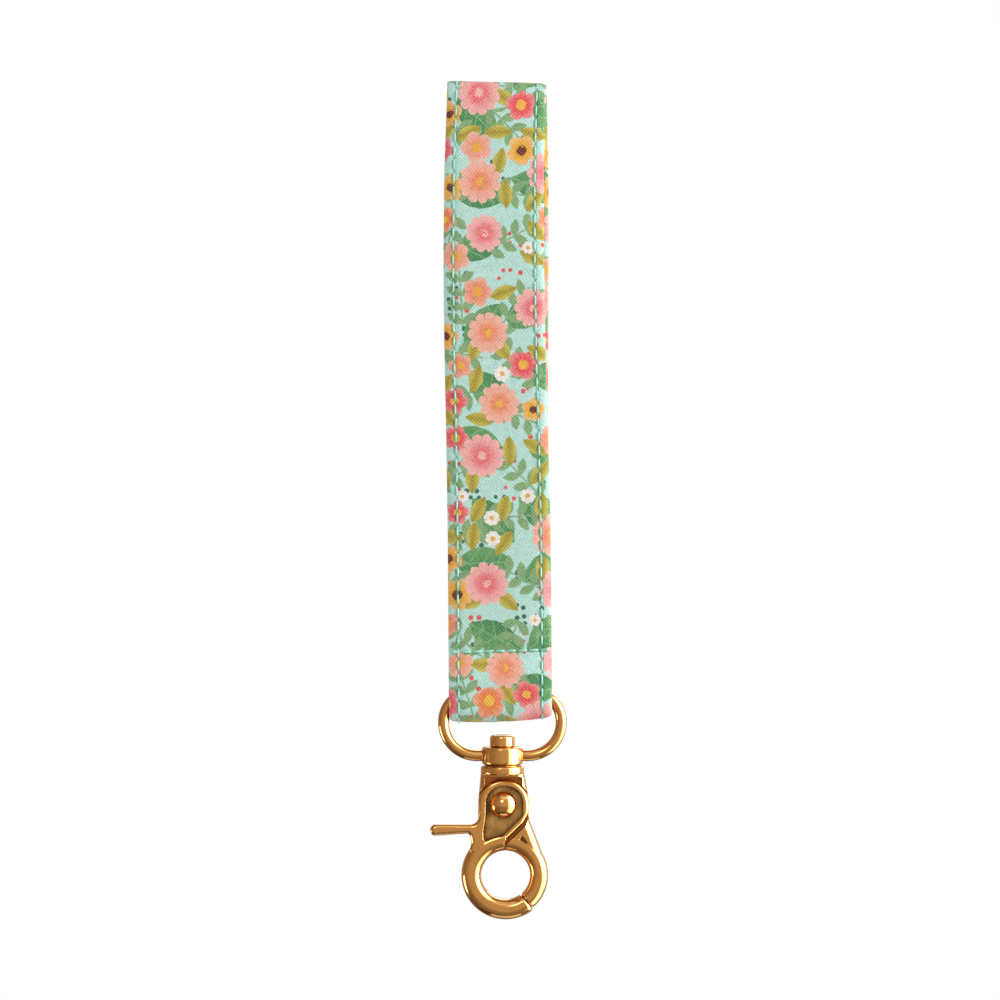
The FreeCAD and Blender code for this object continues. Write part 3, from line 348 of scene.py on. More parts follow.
vein = add(tree, "ShaderNodeMath", {0: part.outputs[0], 1: vein}, operation="SUBTRACT")
vein = add(tree, "ShaderNodeMath", {0: vein, 1: VEIN_SPACING}, operation="PINGPONG")
vein = add(tree, "ShaderNodeMath", {0: vein, 1: rib}, operation="MINIMUM")
vein = add(tree, "ShaderNodeMath", {0: VEIN_HALF_WIDTH, 1: vein}, operation="SUBTRACT")
vein = add(tree, "ShaderNodeMapRange", {0: vein, 1: -OUTLINE_BLUR, 2: OUTLINE_BLUR})
vein = add(tree, "ShaderNodeMath", {0: vein, 1: VEIN_STRENGTH}, operation="MULTIPLY")
hue = add(tree, "ShaderNodeMix", {0: vein, 6: hue, 7: linear("#A9CF97")}, out=2, data_type="RGBA")
design = add(tree, "ShaderNodeMix", {0: mask, 6: design, 7: hue}, out=2, data_type="RGBA")

# Twigs: a thin stem with pairs of small sage leaves set at a slant. One leaf is drawn, repeated
# along the stem and mirrored over it, and all the sizes are then drawn larger by 1 / 0.8.
TWIG_SCALE, TWIG_HALF_LENGTH, STEM_HALF_WIDTH = 0.8, 5.4, 0.16
PAIR_SPACING, PAIR_SLANT = 2.7, 1.0
off, _, _, _ = scatter(tree, drawn_uv, spacing=13.5, jitter=0.4, start=(0.55, 0.13, 0.0))
off = add(tree, "ShaderNodeVectorMath", {0: off, "Scale": TWIG_SCALE}, operation="SCALE")
part = add(tree, "ShaderNodeSeparateXYZ", {0: off}, out=None)
away = add(tree, "ShaderNodeMath", {0: part.outputs[1]}, operation="ABSOLUTE")
reach = add(tree, "ShaderNodeMath", {0: part.outputs[0]}, operation="ABSOLUTE")
along = add(tree, "ShaderNodeMath", {0: part.outputs[0], 1: PAIR_SPACING}, operation="FLOORED_MODULO")
along = add(tree, "ShaderNodeMath", {0: along, 1: PAIR_SPACING / 2}, operation="SUBTRACT")
pair = add(tree, "ShaderNodeCombineXYZ", {0: along, 1: away})
pair = add(tree, "ShaderNodeVectorRotate", {"Vector": pair, "Center": (-0.9, 0.1, 0.0), "Angle": PAIR_SLANT},
           rotation_type="Z_AXIS", invert=True)
pair = add(tree, "ShaderNodeVectorMath", {0: pair, 1: (0.75, -0.1, 0.0)}, operation="SUBTRACT")
inside, _, _ = leaf_shape(tree, pair, half_length=1.75, half_width=0.85)
end = add(tree, "ShaderNodeMath", {0: TWIG_HALF_LENGTH, 1: reach}, operation="SUBTRACT")
inside = add(tree, "ShaderNodeMath", {0: inside, 1: end}, operation="MINIMUM")
stem = add(tree, "ShaderNodeMath", {0: STEM_HALF_WIDTH, 1: away}, operation="SUBTRACT")
stem = add(tree, "ShaderNodeMath", {0: stem, 1: end}, operation="MINIMUM")
inside = add(tree, "ShaderNodeMath", {0: inside, 1: stem}, operation="MAXIMUM")
mask = add(tree, "ShaderNodeMapRange", {0: inside, 1: -OUTLINE_BLUR, 2: OUTLINE_BLUR})
hue = add(tree, "ShaderNodeValToRGB", {0: wash}, stops=["#719A66", "#86AA75", "#9DBC87"])
design = add(tree, "ShaderNodeMix", {0: mask, 6: design, 7: hue}, out=2, data_type="RGBA")

# Ochre leaves, one by one, paler towards their edges.
off, dice, _, middle = scatter(tree, drawn_uv, spacing=7.6, jitter=0.4, start=(0.81, 0.36, 0.0))
inside, rib, _ = leaf_shape(tree, off, half_length=3.6, half_width=1.7)
mask = printed(tree, inside, dice, low=0.0, high=0.8)
mask = clear_of(tree, mask, middle, (DOUBLE, LARGE), room=-0.8)
shade = add(tree, "ShaderNodeMath", {0: rib, 1: 0.75}, operation="MULTIPLY")
hue = add(tree, "ShaderNodeValToRGB", {0: shade}, stops=["#A8942E", "#B9A73C", "#C9BB55"])
design = add(tree, "ShaderNodeMix", {0: mask, 6: design, 7: hue}, out=2, data_type="RGBA")


def blossoms(tree, design, layer, petals, sizes, tones, hearts, under=()):
    """A layer of blossoms: petals round a heart, drawn darker between and paler at their tips.
    Their size is their radius, tones and hearts are dealt out by the dice, and a blossom is left
    out where it would come under one of another layer."""
    off, dice, tone, middle = scatter(tree, drawn_uv, layer["spacing"], layer["jitter"], layer["start"])
    part = add(tree, "ShaderNodeSeparateXYZ", {0: off}, out=None)
    around = add(tree, "ShaderNodeMath", {0: part.outputs[1], 1: part.outputs[0]}, operation="ARCTAN2")
    away = add(tree, "ShaderNodeVectorMath", {0: off}, out=1, operation="LENGTH")
    size = add(tree, "ShaderNodeMapRange", {0: tone, 3: sizes[0], 4: sizes[1]})
    lobe = add(tree, "ShaderNodeMath", {0: around, 1: petals / 2}, operation="MULTIPLY")
    lobe = add(tree, "ShaderNodeMath", {0: lobe}, operation="COSINE")
    lobe = add(tree, "ShaderNodeMath", {0: lobe}, operation="ABSOLUTE")
    lobe = add(tree, "ShaderNodeMath", {0: lobe, 1: 0.55}, operation="POWER")
    rim = add(tree, "ShaderNodeMapRange", {0: lobe, 3: 1 - layer["notch"], 4: 1.0})
    rim = add(tree, "ShaderNodeMath", {0: rim, 1: size}, operation="MULTIPLY")
    inside = add(tree, "ShaderNodeMath", {0: rim, 1: away}, operation="SUBTRACT")
    mask = printed(tree, inside, dice, *layer["share"])
    ratio = add(tree, "ShaderNodeMath", {0: away, 1: size}, operation="DIVIDE")
    pick = add(tree, "ShaderNodeMapRange", {0: dice, 1: layer["share"][0], 2: layer["share"][1]})
    petal = add(tree, "ShaderNodeValToRGB", {0: pick}, stops=tones, steps=True)
    heart = add(tree, "ShaderNodeValToRGB", {0: pick}, stops=hearts, steps=True)
    streak = add(tree, "ShaderNodeMath", {0: around, 1: petals * 2.5}, operation="MULTIPLY")
    streak = add(tree, "ShaderNodeMath", {0: streak}, operation="SINE")
    streak = add(tree, "ShaderNodeMath", {0: streak, 1: 0.06}, operation="MULTIPLY")
    streak = add(tree, "ShaderNodeMath", {0: ratio, 1: streak}, operation="ADD")
    pale = add(tree, "ShaderNodeMapRange", {0: streak, 1: 0.5, 2: 1.0, 3: 0.0, 4: 0.34})
    tip = add(tree, "ShaderNodeMix", {0: pale, 6: petal, 7: linear("#FBE3DA")}, out=2, data_type="RGBA")
    deep = add(tree, "ShaderNodeMix", {0: 1.0, 6: petal, 7: linear("#E4CBC4")}, out=2,
               data_type="RGBA", blend_type="MULTIPLY")
    gap = add(tree, "ShaderNodeMapRange", {0: lobe, 1: 0.45, 2: 0.05, 3: 0.0, 4: 0.55})
    petal = add(tree, "ShaderNodeMix", {0: gap, 6: tip, 7: deep}, out=2, data_type="RGBA")
    core = add(tree, "ShaderNodeMath", {0: wash, 1: 0.06}, operation="MULTIPLY")
    core = add(tree, "ShaderNodeMath", {0: 0.3, 1: core}, operation="ADD")
    core = add(tree, "ShaderNodeMath", {0: core, 1: ratio}, operation="SUBTRACT")
    core = add(tree, "ShaderNodeMapRange", {0: core, 1: -0.04, 2: 0.04})
    petal = add(tree, "ShaderNodeMix", {0: core, 6: petal, 7: heart}, out=2, data_type="RGBA")
    mask = clear_of(tree, mask, middle, under, layer["room"] * 0.4)
    return add(tree, "ShaderNodeMix", {0: mask, 6: design, 7: petal}, out=2, data_type="RGBA")


# Daisies, five-petalled blossoms in six colours, and double blossoms with a ruff inside a ruff.
design = blossoms(tree, design, SMALL, petals=8, sizes=(1.5, 2.0), tones=["#F3EEE7", "#F5EFE6"],
                  hearts=["#E6A93A", "#E9B040"], under=(DOUBLE, LARGE))
design = blossoms(tree, design, LARGE, petals=5, sizes=(2.9, 4.2),
                  tones=["#EC5458", "#F0936F", "#EF8445", "#F2A183", "#E85A6B", "#EFAE36"],
                  hearts=["#F2B544", "#F0AC38", "#F2BC3E", "#EFA93C", "#F3C04C", "#6E2C22"],
                  under=(DOUBLE,))
design = blossoms(tree, design, DOUBLE, petals=11, sizes=(4.7, 5.6), tones=["#F3A19B", "#F2A58A"],
                  hearts=["#EE6F74", "#F08A5C"])
design = blossoms(tree, design, DOUBLE, petals=7, sizes=(3.0, 3.6), tones=["#EE7378", "#F28D63"],
                  hearts=["#F3B9AE", "#F2B544"])

# The inks lie unevenly, in faint blotches.
blot = add(tree, "ShaderNodeTexNoise", {"Vector": print_uv, "Scale": 0.9, "Detail": 4.0, "Roughness": 0.6})
blot = add(tree, "ShaderNodeMapRange", {0: blot, 1: 0.3, 2: 0.7, 3: 0.9, 4: 1.08})
design = add(tree, "ShaderNodeVectorMath", {0: design, "Scale": blot}, operation="SCALE")

# The weave: threads crossing over and under, drawn 0.45 mm apart rather than the real 0.37 mm so
# that they show, and straying a little. The print sinks in the hollows and thins on the crowns, and
# the colour there is also drawn darker and paler: painted shade in the hollows, painted highlight
# on the crowns.
THREAD_SPACING = 0.45
THREAD_STRAY = 1.1
stray = add(tree, "ShaderNodeTexNoise", {"Vector": print_uv, "Scale": 0.5, "Detail": 2.0}, out=1)
stray = add(tree, "ShaderNodeVectorMath", {0: stray, 1: (0.5, 0.5, 0.5)}, operation="SUBTRACT")
stray = add(tree, "ShaderNodeVectorMath", {0: stray, "Scale": THREAD_STRAY}, operation="SCALE")
stray = add(tree, "ShaderNodeVectorMath", {0: print_uv, 1: stray}, operation="ADD")
part = add(tree, "ShaderNodeSeparateXYZ", {0: stray}, out=None)
waves, crests = [], []
for place in part.outputs[:2]:
    wave = add(tree, "ShaderNodeMath", {0: place, 1: math.pi / THREAD_SPACING}, operation="MULTIPLY")
    waves.append(add(tree, "ShaderNodeMath", {0: wave}, operation="SINE"))
    crests.append(add(tree, "ShaderNodeMath", {0: waves[-1]}, operation="ABSOLUTE"))
checks = add(tree, "ShaderNodeMath", {0: waves[0], 1: waves[1]}, operation="MULTIPLY")
thread = add(tree, "ShaderNodeMath", {0: crests[0], 1: crests[1]}, operation="MINIMUM")
thread = add(tree, "ShaderNodeMapRange", {0: thread, 3: -0.4, 4: 0.5})
thread = add(tree, "ShaderNodeMath", {0: thread, 1: checks}, operation="ADD")
uneven = add(tree, "ShaderNodeTexNoise", {"Vector": print_uv, "Scale": 1.9, "Detail": 1.0})
uneven = add(tree, "ShaderNodeMapRange", {0: uneven, 1: 0.3, 2: 0.7, 3: 0.3, 4: 1.5})
thread = add(tree, "ShaderNodeMath", {0: thread, 1: uneven}, operation="MULTIPLY")
slub = add(tree, "ShaderNodeMapping", {"Vector": print_uv, "Scale": (0.6, 2.4, 1.0)})
slub = add(tree, "ShaderNodeTexNoise", {"Vector": slub, "Scale": 1.0, "Detail": 2.0})
relief = add(tree, "ShaderNodeMath", {0: thread, 1: slub}, operation="ADD")
# Painted shade in the hollows and painted highlight on the crowns, along with the print's own sinking and
# thinning.
ink_and_shade = add(tree, "ShaderNodeMapRange", {0: relief, 1: -0.5, 2: 1.5, 3: 0.9, 4: 1.08})
design = add(tree, "ShaderNodeVectorMath", {0: design, "Scale": ink_and_shade}, operation="SCALE")
crown_pale_and_highlight = add(tree, "ShaderNodeMapRange", {0: relief, 1: 0.5, 2: 1.6, 3: 0.0, 4: 0.15})
design = add(tree, "ShaderNodeMix", {0: crown_pale_and_highlight, 6: design, 7: linear("#E9F4EE")}, out=2, data_type="RGBA")

# The stitch rows: painted shade along them, where the cloth is drawn down, darkest at the needle's holes.
part = add(tree, "ShaderNodeSeparateXYZ", {0: print_uv}, out=None)
hole = add(tree, "ShaderNodeMath", {0: part.outputs[1], 1: STITCH_PITCH / 2}, operation="PINGPONG")
for row in row_girths:
    away = add(tree, "ShaderNodeMath", {0: part.outputs[0], 1: row}, operation="SUBTRACT")
    away = add(tree, "ShaderNodeMath", {0: away}, operation="ABSOLUTE")
    row_shade = add(tree, "ShaderNodeMapRange", {0: away, 1: 0.7, 2: 0.15, 3: 0.0, 4: 0.22})
    hole_shade = add(tree, "ShaderNodeCombineXYZ", {0: away, 1: hole})
    hole_shade = add(tree, "ShaderNodeVectorMath", {0: hole_shade}, out=1, operation="LENGTH")
    hole_shade = add(tree, "ShaderNodeMapRange", {0: hole_shade, 1: 0.5, 2: 0.2, 3: 0.0, 4: 0.6})
    row_shade = add(tree, "ShaderNodeMath", {0: row_shade, 1: hole_shade}, operation="MAXIMUM")
    design = add(tree, "ShaderNodeMix", {0: row_shade, 6: design, 7: linear("#3F9478")}, out=2, data_type="RGBA")
rough = add(tree, "ShaderNodeMapRange", {0: slub, 3: 0.78, 4: 0.92})
bump = add(tree, "ShaderNodeBump", {"Strength": 0.6, "Distance": 0.08 * MM, "Height": relief})
shader = add(tree, "ShaderNodeBsdfPrincipled", {
    "Base Color": design, "Roughness": rough, "Normal": bump, "Sheen Weight": 0.18,
    "Sheen Roughness": 0.5, "Specular IOR Level": 0.25})
tree.links.new(shader, surface.inputs[0])
strap_mesh.materials.append(cotton)

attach(strap, "strap")
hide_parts("strap_cover", "strap_webbing")

# ---------------------------------------------------------------------------------------------
# Stitching. Mint polyester thread in lock stitch: a row near each edge right round the loop, on
# both faces, and one closing seam across front and back above the eye.
EDGE_THREAD_RADIUS = 0.28
SEAM_THREAD_RADIUS = 0.42

# How far a stitch stands off the cloth, how far its ends dip into their holes, and how full it
# stays towards them.
THREAD_LIFT, THREAD_DIP, THREAD_FULLNESS = 0.3, 0.4, 0.45


def sew(name, stitches, radius):
    """One object of stitches. Each is (across, along) at its two ends, and its side of the band."""
    thread = bmesh.new()
    for start, end, side in stitches:
        bead = bmesh.ops.create_uvsphere(thread, u_segments=6, v_segments=6, radius=1.0)["verts"]
        flat = Vector(end) - Vector(start)
        run = flat.normalized()
        for v in bead:
            share = v.co.z
            plump = max(1e-6, math.hypot(v.co.x, v.co.y)) ** -THREAD_FULLNESS
            v.co.x, v.co.y = v.co.x * plump, v.co.y * plump
            place = (Vector(start) + Vector(end)) / 2 + flat * (share / 2)
            place += Vector((-run.y, run.x)) * v.co.x * radius
            dip = THREAD_DIP * abs(share) ** 4
            height = side * (STRAP_HALF_THICKNESS + THREAD_LIFT - dip) + v.co.y * radius
            v.co = hang(place.x, height, place.y)
    bmesh.ops.recalc_face_normals(thread, faces=thread.faces)
    mesh = bpy.data.meshes.new(name)
    thread.to_mesh(mesh)
    thread.free()
    mesh.shade_smooth()
    made = bpy.data.objects.new(name, mesh)
    bpy.context.scene.collection.objects.link(made)
    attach(made, "strap")
    return made


# Each edge stitch keeps a gap to the next, as a share of the pitch, and starts a little off its row.
STITCH_GAP = 0.09
STITCH_SLIP, SLIP_LEFT = 0.12, 0.4
edge_stitches = []
for k in range(int(round(BAND_LENGTH / STITCH_PITCH))):
    start, end = (k + STITCH_GAP) * STITCH_PITCH, (k + 1 - STITCH_GAP) * STITCH_PITCH
    for x in (-stitch_x, stitch_x):
        slip = STITCH_SLIP * noise.noise(Vector((k * 0.7, x, 0.0)))
        for side in (1, -1):
            edge_stitches.append(((x + slip, start), (x + slip * SLIP_LEFT, end), side))
edge_stitching = sew("edge_stitching", edge_stitches, EDGE_THREAD_RADIUS)

# The closing seam is guided freehand, so its stitches wander and its row leans down to the left.
SEAM_PITCH, SEAM_GAP, SEAM_INSET = 2.7, 0.12, 0.35
SEAM_TILT, SEAM_WANDER, WANDER_LEFT = 0.025, 0.25, 0.6
closing_stitches = []
for seam, tilt in ((seam_front, -SEAM_TILT), (seam_back, SEAM_TILT)):
    for k in range(int(2 * STRAP_HALF_WIDTH / SEAM_PITCH)):
        x = -STRAP_HALF_WIDTH + SEAM_INSET + k * SEAM_PITCH
        rise = SEAM_WANDER * noise.noise(Vector((k * 1.3, seam, 2.0)))
        start = (x + SEAM_GAP, seam + rise + tilt * x)
        end = (x + SEAM_PITCH - SEAM_GAP, seam - rise * WANDER_LEFT + tilt * (x + SEAM_PITCH))
        closing_stitches.append((start, end, 1))
closing_seam = sew("closing_seam", closing_stitches, SEAM_THREAD_RADIUS)

# Polyester thread: two plies twisted together, which gives smooth ridges, a little glossy. It is
# mottled in waves of 1.1 mm, and a wave texture of this scale has its ridges 0.45 mm apart.
MOTTLE, TWIST = 0.9 / MM, 0.7 / MM
thread_stuff, tree, surface = new_material("polyester_thread")
place = add(tree, "ShaderNodeTexCoord", out=3)
tint = add(tree, "ShaderNodeTexNoise", {"Vector": place, "Scale": MOTTLE, "Detail": 1.0})
hue = add(tree, "ShaderNodeValToRGB", {0: tint}, stops=["#7CC8AE", "#9AD7C4", "#BDE8DB"])
ply = add(tree, "ShaderNodeMapping", {"Vector": place, "Rotation": (0.0, 0.6, 0.0)})
ply = add(tree, "ShaderNodeTexWave", {"Vector": ply, "Scale": TWIST}, out=1)
bump = add(tree, "ShaderNodeBump", {"Strength": 0.4, "Distance": 0.04 * MM, "Height": ply})
shader = add(tree, "ShaderNodeBsdfPrincipled", {
    "Base Color": hue, "Roughness": 0.45, "Normal": bump, "Sheen Weight": 0.2})
tree.links.new(shader, surface.inputs[0])
for row in (edge_stitching, closing_seam):
    row.data.materials.append(thread_stuff)

# ---------------------------------------------------------------------------------------------
# Metal fittings. Zinc castings tumbled, polished and flashed with a warm light gold: the swivel
# eye, hook body and trigger. The swivel pin and the pivot rivet are turned steel, plated alike.

# The plate's patterns, in waves to a millimetre: cast swells 3.8 mm long, haze in patches of
# 2.4 mm, and handling marks 1.7 mm long and 0.17 mm apart. Tumbling has rounded the edges.
CAST_SWELL = 0.26 / MM
HAZE = 0.42 / MM
HANDLING_MARKS = (0.6 / MM, 0.6 / MM, 6 / MM)
TUMBLED_EDGE = 0.16 * MM

# The floors of the trigger's dish and the hook's dimple lie at these depths. The dish's is grained
# in streaks 0.7 mm across, 2.2 mm high and 3.3 mm deep, over blotches of 3.3 mm.
FLOOR_BACK, FLOOR_FRONT = -1.45 * MM, -1.75 * MM
FACING_FRONT = -0.97
GRAIN = (1.5 / MM, 0.3 / MM, 0.45 / MM)
BLOTCHES = 0.3 / MM
# Points from which the dish is drawn brighter towards its foot, and darker with painted shade towards its
# left side.
DISH_FOOT = (-2.2 * MM, -1.6 * MM, -180.6 * MM)
DISH_DARK_SIDE = (-3.5 * MM, -1.6 * MM, -175.2 * MM)


def dish_floor(tree, place):
    """1 on the floors of the dish and the dimple, and 0 elsewhere."""
    depth = add(tree, "ShaderNodeSeparateXYZ", {0: place}, out=1)
    behind = add(tree, "ShaderNodeMath", {0: depth, 1: FLOOR_FRONT}, operation="GREATER_THAN")
    ahead = add(tree, "ShaderNodeMath", {0: depth, 1: FLOOR_BACK}, operation="LESS_THAN")
    facing = add(tree, "ShaderNodeTexCoord", out=1)
    facing = add(tree, "ShaderNodeSeparateXYZ", {0: facing}, out=1)
    facing = add(tree, "ShaderNodeMath", {0: facing, 1: FACING_FRONT}, operation="LESS_THAN")
    floor = add(tree, "ShaderNodeMath", {0: behind, 1: ahead}, operation="MULTIPLY")
    return add(tree, "ShaderNodeMath", {0: floor, 1: facing}, operation="MULTIPLY")


def cast_mottle_and_shade(tree, place):
    """The mottling of those floors, from dark at 0 to bright at 1: grain over blotches, brighter
    towards the dish's foot, with painted shade darkening its left side and its corners."""
    grain = add(tree, "ShaderNodeMapping",
                {"Vector": place, "Rotation": (0.0, 0.25, 0.0), "Scale": GRAIN})
    grain = add(tree, "ShaderNodeTexNoise", {"Vector": grain, "Scale": 1.0, "Detail": 4.0})
    mottle = add(tree, "ShaderNodeTexNoise", {"Vector": place, "Scale": BLOTCHES, "Detail": 3.0})
    mottle = add(tree, "ShaderNodeMix", {0: 0.4, 2: mottle, 3: grain})
    mottle = add(tree, "ShaderNodeMapRange", {0: mottle, 1: 0.2, 2: 0.8, 3: 0.0, 4: 1.0}, clamp=False)
    low = add(tree, "ShaderNodeVectorMath", {0: place, 1: DISH_FOOT}, out=1, operation="DISTANCE")
    low = add(tree, "ShaderNodeMapRange", {0: low, 1: 1.2 * MM, 2: 5.2 * MM, 3: 0.34, 4: 0.24})
    # Painted shade: darker towards the dish's left side.
    side = add(tree, "ShaderNodeVectorMath", {0: place, 1: DISH_DARK_SIDE}, out=1, operation="DISTANCE")
    side = add(tree, "ShaderNodeMapRange", {0: side, 1: 0.8 * MM, 2: 2.6 * MM, 3: 0.6, 4: 0.0})
    # Painted shade in the dish's corners, where ambient occlusion finds them.
    corner = add(tree, "ShaderNodeAmbientOcclusion", {"Distance": 1.2 * MM}, out=1, samples=8)
    corner = add(tree, "ShaderNodeMapRange", {0: corner, 1: 0.92, 2: 0.6, 3: 0.0, 4: 0.62})
    mottle = add(tree, "ShaderNodeMath", {0: mottle, 1: low}, operation="ADD")
    mottle = add(tree, "ShaderNodeMath", {0: mottle, 1: side}, operation="SUBTRACT")
    return add(tree, "ShaderNodeMath", {0: mottle, 1: corner}, operation="SUBTRACT")


def gold_plate(name, colour, roughness, waviness, tarnish_and_shade, dished=False):
    """Polished gold plate: clear reflections, softened over cast waviness and fine handling marks."""
    made, tree, surface = new_material(name)
    place = add(tree, "ShaderNodeTexCoord", out=3)
    hue = linear(colour)
    haze = add(tree, "ShaderNodeTexNoise", {"Vector": place, "Scale": HAZE, "Detail": 4.0})
    rough = add(tree, "ShaderNodeMapRange",
                {0: haze, 1: 0.3, 2: 0.75, 3: roughness * 0.7, 4: roughness * 1.5})
    # Ambient occlusion finds the recesses, where painted shade and tarnish darken the plate.
    recess_tarnish_and_shade = add(tree, "ShaderNodeAmbientOcclusion", {"Distance": 3 * MM}, out=1, samples=8)
    recess_tarnish_and_shade = add(tree, "ShaderNodeMapRange", {0: recess_tarnish_and_shade, 1: 0.9, 2: 0.4, 3: 0.0, 4: tarnish_and_shade})
    if dished:
        # The floors of the dish and the dimple are left as cast under the plate: duller and mottled, with
        # painted shade at the dish's left side and in its corners.
        floor = dish_floor(tree, place)
        mottle = cast_mottle_and_shade(tree, place)
        dull = add(tree, "ShaderNodeMapRange", {0: mottle, 1: 0.35, 2: 0.65, 3: 0.26, 4: 0.36})
        rough = add(tree, "ShaderNodeMix", {0: floor, 2: rough, 3: dull})
        cast_floor_and_shade = add(tree, "ShaderNodeValToRGB", {0: mottle},
                    stops=["#46351A", "#775A2B", "#A98345", "#D2A55F"])
        hue = add(tree, "ShaderNodeMix", {0: floor, 6: hue, 7: cast_floor_and_shade}, out=2, data_type="RGBA")
        left = add(tree, "ShaderNodeMapRange", {0: floor, 3: 1.0, 4: 0.2})
        recess_tarnish_and_shade = add(tree, "ShaderNodeMath", {0: recess_tarnish_and_shade, 1: left}, operation="MULTIPLY")
    # Painted shade and tarnish: the plate is drawn browner, darker and duller in the recesses, where it is
    # thin and polishing never reaches.
    hue = add(tree, "ShaderNodeMix", {0: recess_tarnish_and_shade, 6: hue, 7: linear("#AC6018")}, out=2, data_type="RGBA")
    dulled = add(tree, "ShaderNodeMath", {0: recess_tarnish_and_shade, 1: 0.35}, operation="MULTIPLY")
    rough = add(tree, "ShaderNodeMath", {0: rough, 1: dulled}, operation="ADD")
    swell = add(tree, "ShaderNodeTexNoise", {"Vector": place, "Scale": CAST_SWELL, "Detail": 1.0})
    brush = add(tree, "ShaderNodeMapping",
                {"Vector": place, "Rotation": (0.3, 0.5, 0.2), "Scale": HANDLING_MARKS})
    brush = add(tree, "ShaderNodeTexNoise", {"Vector": brush, "Scale": 1.0, "Detail": 3.0})
    soft = add(tree, "ShaderNodeBevel", {"Radius": TUMBLED_EDGE}, samples=6)
    bump = add(tree, "ShaderNodeBump",
               {"Strength": waviness, "Distance": 0.4 * MM, "Height": swell, "Normal": soft})
    bump = add(tree, "ShaderNodeBump",
               {"Strength": 0.05, "Distance": 0.02 * MM, "Height": brush, "Normal": bump})
    shader = add(tree, "ShaderNodeBsdfPrincipled", {
        "Base Color": hue, "Metallic": 1.0, "Roughness": rough, "Normal": bump, "Coat Weight": 0.5,
        "Coat Roughness": 0.08, "Coat Normal": soft})
    tree.links.new(shader, surface.inputs[0])
    return made


def finish_node(name, material):
    """Gives a CAD node its finish on the slots it has."""
    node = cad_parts[name]
    if not node.data.materials:
        node.data.materials.append(material)
    for k in range(len(node.data.materials)):
        node.data.materials[k] = material


# The last number is how strongly the recesses take painted shade and tarnish.
cast_gold = gold_plate("gold_plated_zinc", "#E7AC62", 0.13, 0.22, 0.85)
dished_gold = gold_plate("gold_plated_zinc_dished", "#E7AC62", 0.13, 0.22, 0.85, dished=True)
pin_gold = gold_plate("gold_plated_steel", "#E9AF66", 0.1, 0.1, 0.1)
finish_node("swivel_d_ring", cast_gold)
for name in ("hook_body", "trigger_gate"):
    finish_node(name, dished_gold)
for name in ("swivel_pin", "pivot_rivet"):
    finish_node(name, pin_gold)

# ---------------------------------------------------------------------------------------------
# Return spring. Drawn carbon-steel wire, coiled cold, relieved by heat and dropped over the rivet.
# That gives a straw grey with a satin shine, broken up by drawing marks 0.4 mm apart.
DRAW_MARKS = 2.5 / MM
spring_steel, tree, surface = new_material("drawn_spring_steel")
place = add(tree, "ShaderNodeTexCoord", out=3)
draw = add(tree, "ShaderNodeTexNoise", {"Vector": place, "Scale": DRAW_MARKS, "Detail": 3.0})
rough = add(tree, "ShaderNodeMapRange", {0: draw, 3: 0.25, 4: 0.45})
hue = add(tree, "ShaderNodeValToRGB", {0: draw}, stops=["#77736C", "#A09B92"])
shader = add(tree, "ShaderNodeBsdfPrincipled", {"Base Color": hue, "Metallic": 1.0, "Roughness": rough})
tree.links.new(shader, surface.inputs[0])
finish_node("return_spring", spring_steel)

# ---------------------------------------------------------------------------------------------
# Room. A pale table top far below the hanging piece, in satin white laminate that glows a little
# where the camera sees it, so that it melts into the backdrop. The room's sizes are in metres.
WHITE = linear("#FFFFFF")
FLOOR_DROP = 0.8
FLOOR_HALF_WIDTH = 0.22
FLOOR_GLOW = 0.34
ground = bmesh.new()
bmesh.ops.create_grid(ground, x_segments=1, y_segments=1, size=FLOOR_HALF_WIDTH)
bmesh.ops.translate(ground, verts=ground.verts, vec=(0.0, 0.0, -FLOOR_DROP))
floor_mesh = bpy.data.meshes.new("table_top")
ground.to_mesh(floor_mesh)
ground.free()
table_top = bpy.data.objects.new("table_top", floor_mesh)
bpy.context.scene.collection.objects.link(table_top)
laminate, tree, surface = new_material("white_laminate")
seen = add(tree, "ShaderNodeLightPath", out=0)
seen = add(tree, "ShaderNodeMath", {0: seen, 1: FLOOR_GLOW}, operation="MULTIPLY")
shader = add(tree, "ShaderNodeBsdfPrincipled", {
    "Base Color": linear("#F4F3F1"), "Roughness": 0.6, "Emission Color": WHITE,
    "Emission Strength": seen})
tree.links.new(shader, surface.inputs[0])
floor_mesh.materials.append(laminate)

# The walls: white to the camera, an even pale light on the cloth and, in the metal's reflections,
# warm greys all round with one tall bright panel at the right. Its edges are soft, it ends above
# and below, and it grows dimmer downwards. The tones go round from the back wall by the left, the
# front and the right, and the panel's edges are turns in radians from the front, to the right.
WALL_TONES = ["#C4B5A3", "#B09A84", "#8F7B67", "#AE9B87", "#CDBFAE", "#D0C3B3", "#FFFFFF", "#F1E9DF",
              "#C4B5A3"]
PANEL_NEAR_EDGE, PANEL_FAR_EDGE = (0.58, 0.74), (1.88, 1.6)
PANEL_END = (0.88, 0.7)
PANEL_BRIGHTNESS = 9.0
CEILING_BRIGHTNESS = 0.4
DIMMER_FROM, DIMMER_TO, DIMMER_BRIGHTNESS = -0.08, -0.42, 0.55
CLOTH_LIGHT = (0.5, 0.5, 0.51, 1.0)
room = bpy.data.worlds.new("room")
bpy.context.scene.world = room
room.use_nodes = True
tree = room.node_tree
tree.nodes.clear()
surface = add(tree, "ShaderNodeOutputWorld", out=None)
path = add(tree, "ShaderNodeLightPath", out=None)
way = add(tree, "ShaderNodeTexCoord", out=0)
part = add(tree, "ShaderNodeSeparateXYZ", {0: way}, out=None)
nearness = add(tree, "ShaderNodeMath", {0: part.outputs[1], 1: -1.0}, operation="MULTIPLY")
turn = add(tree, "ShaderNodeMath", {0: part.outputs[0], 1: nearness}, operation="ARCTAN2")
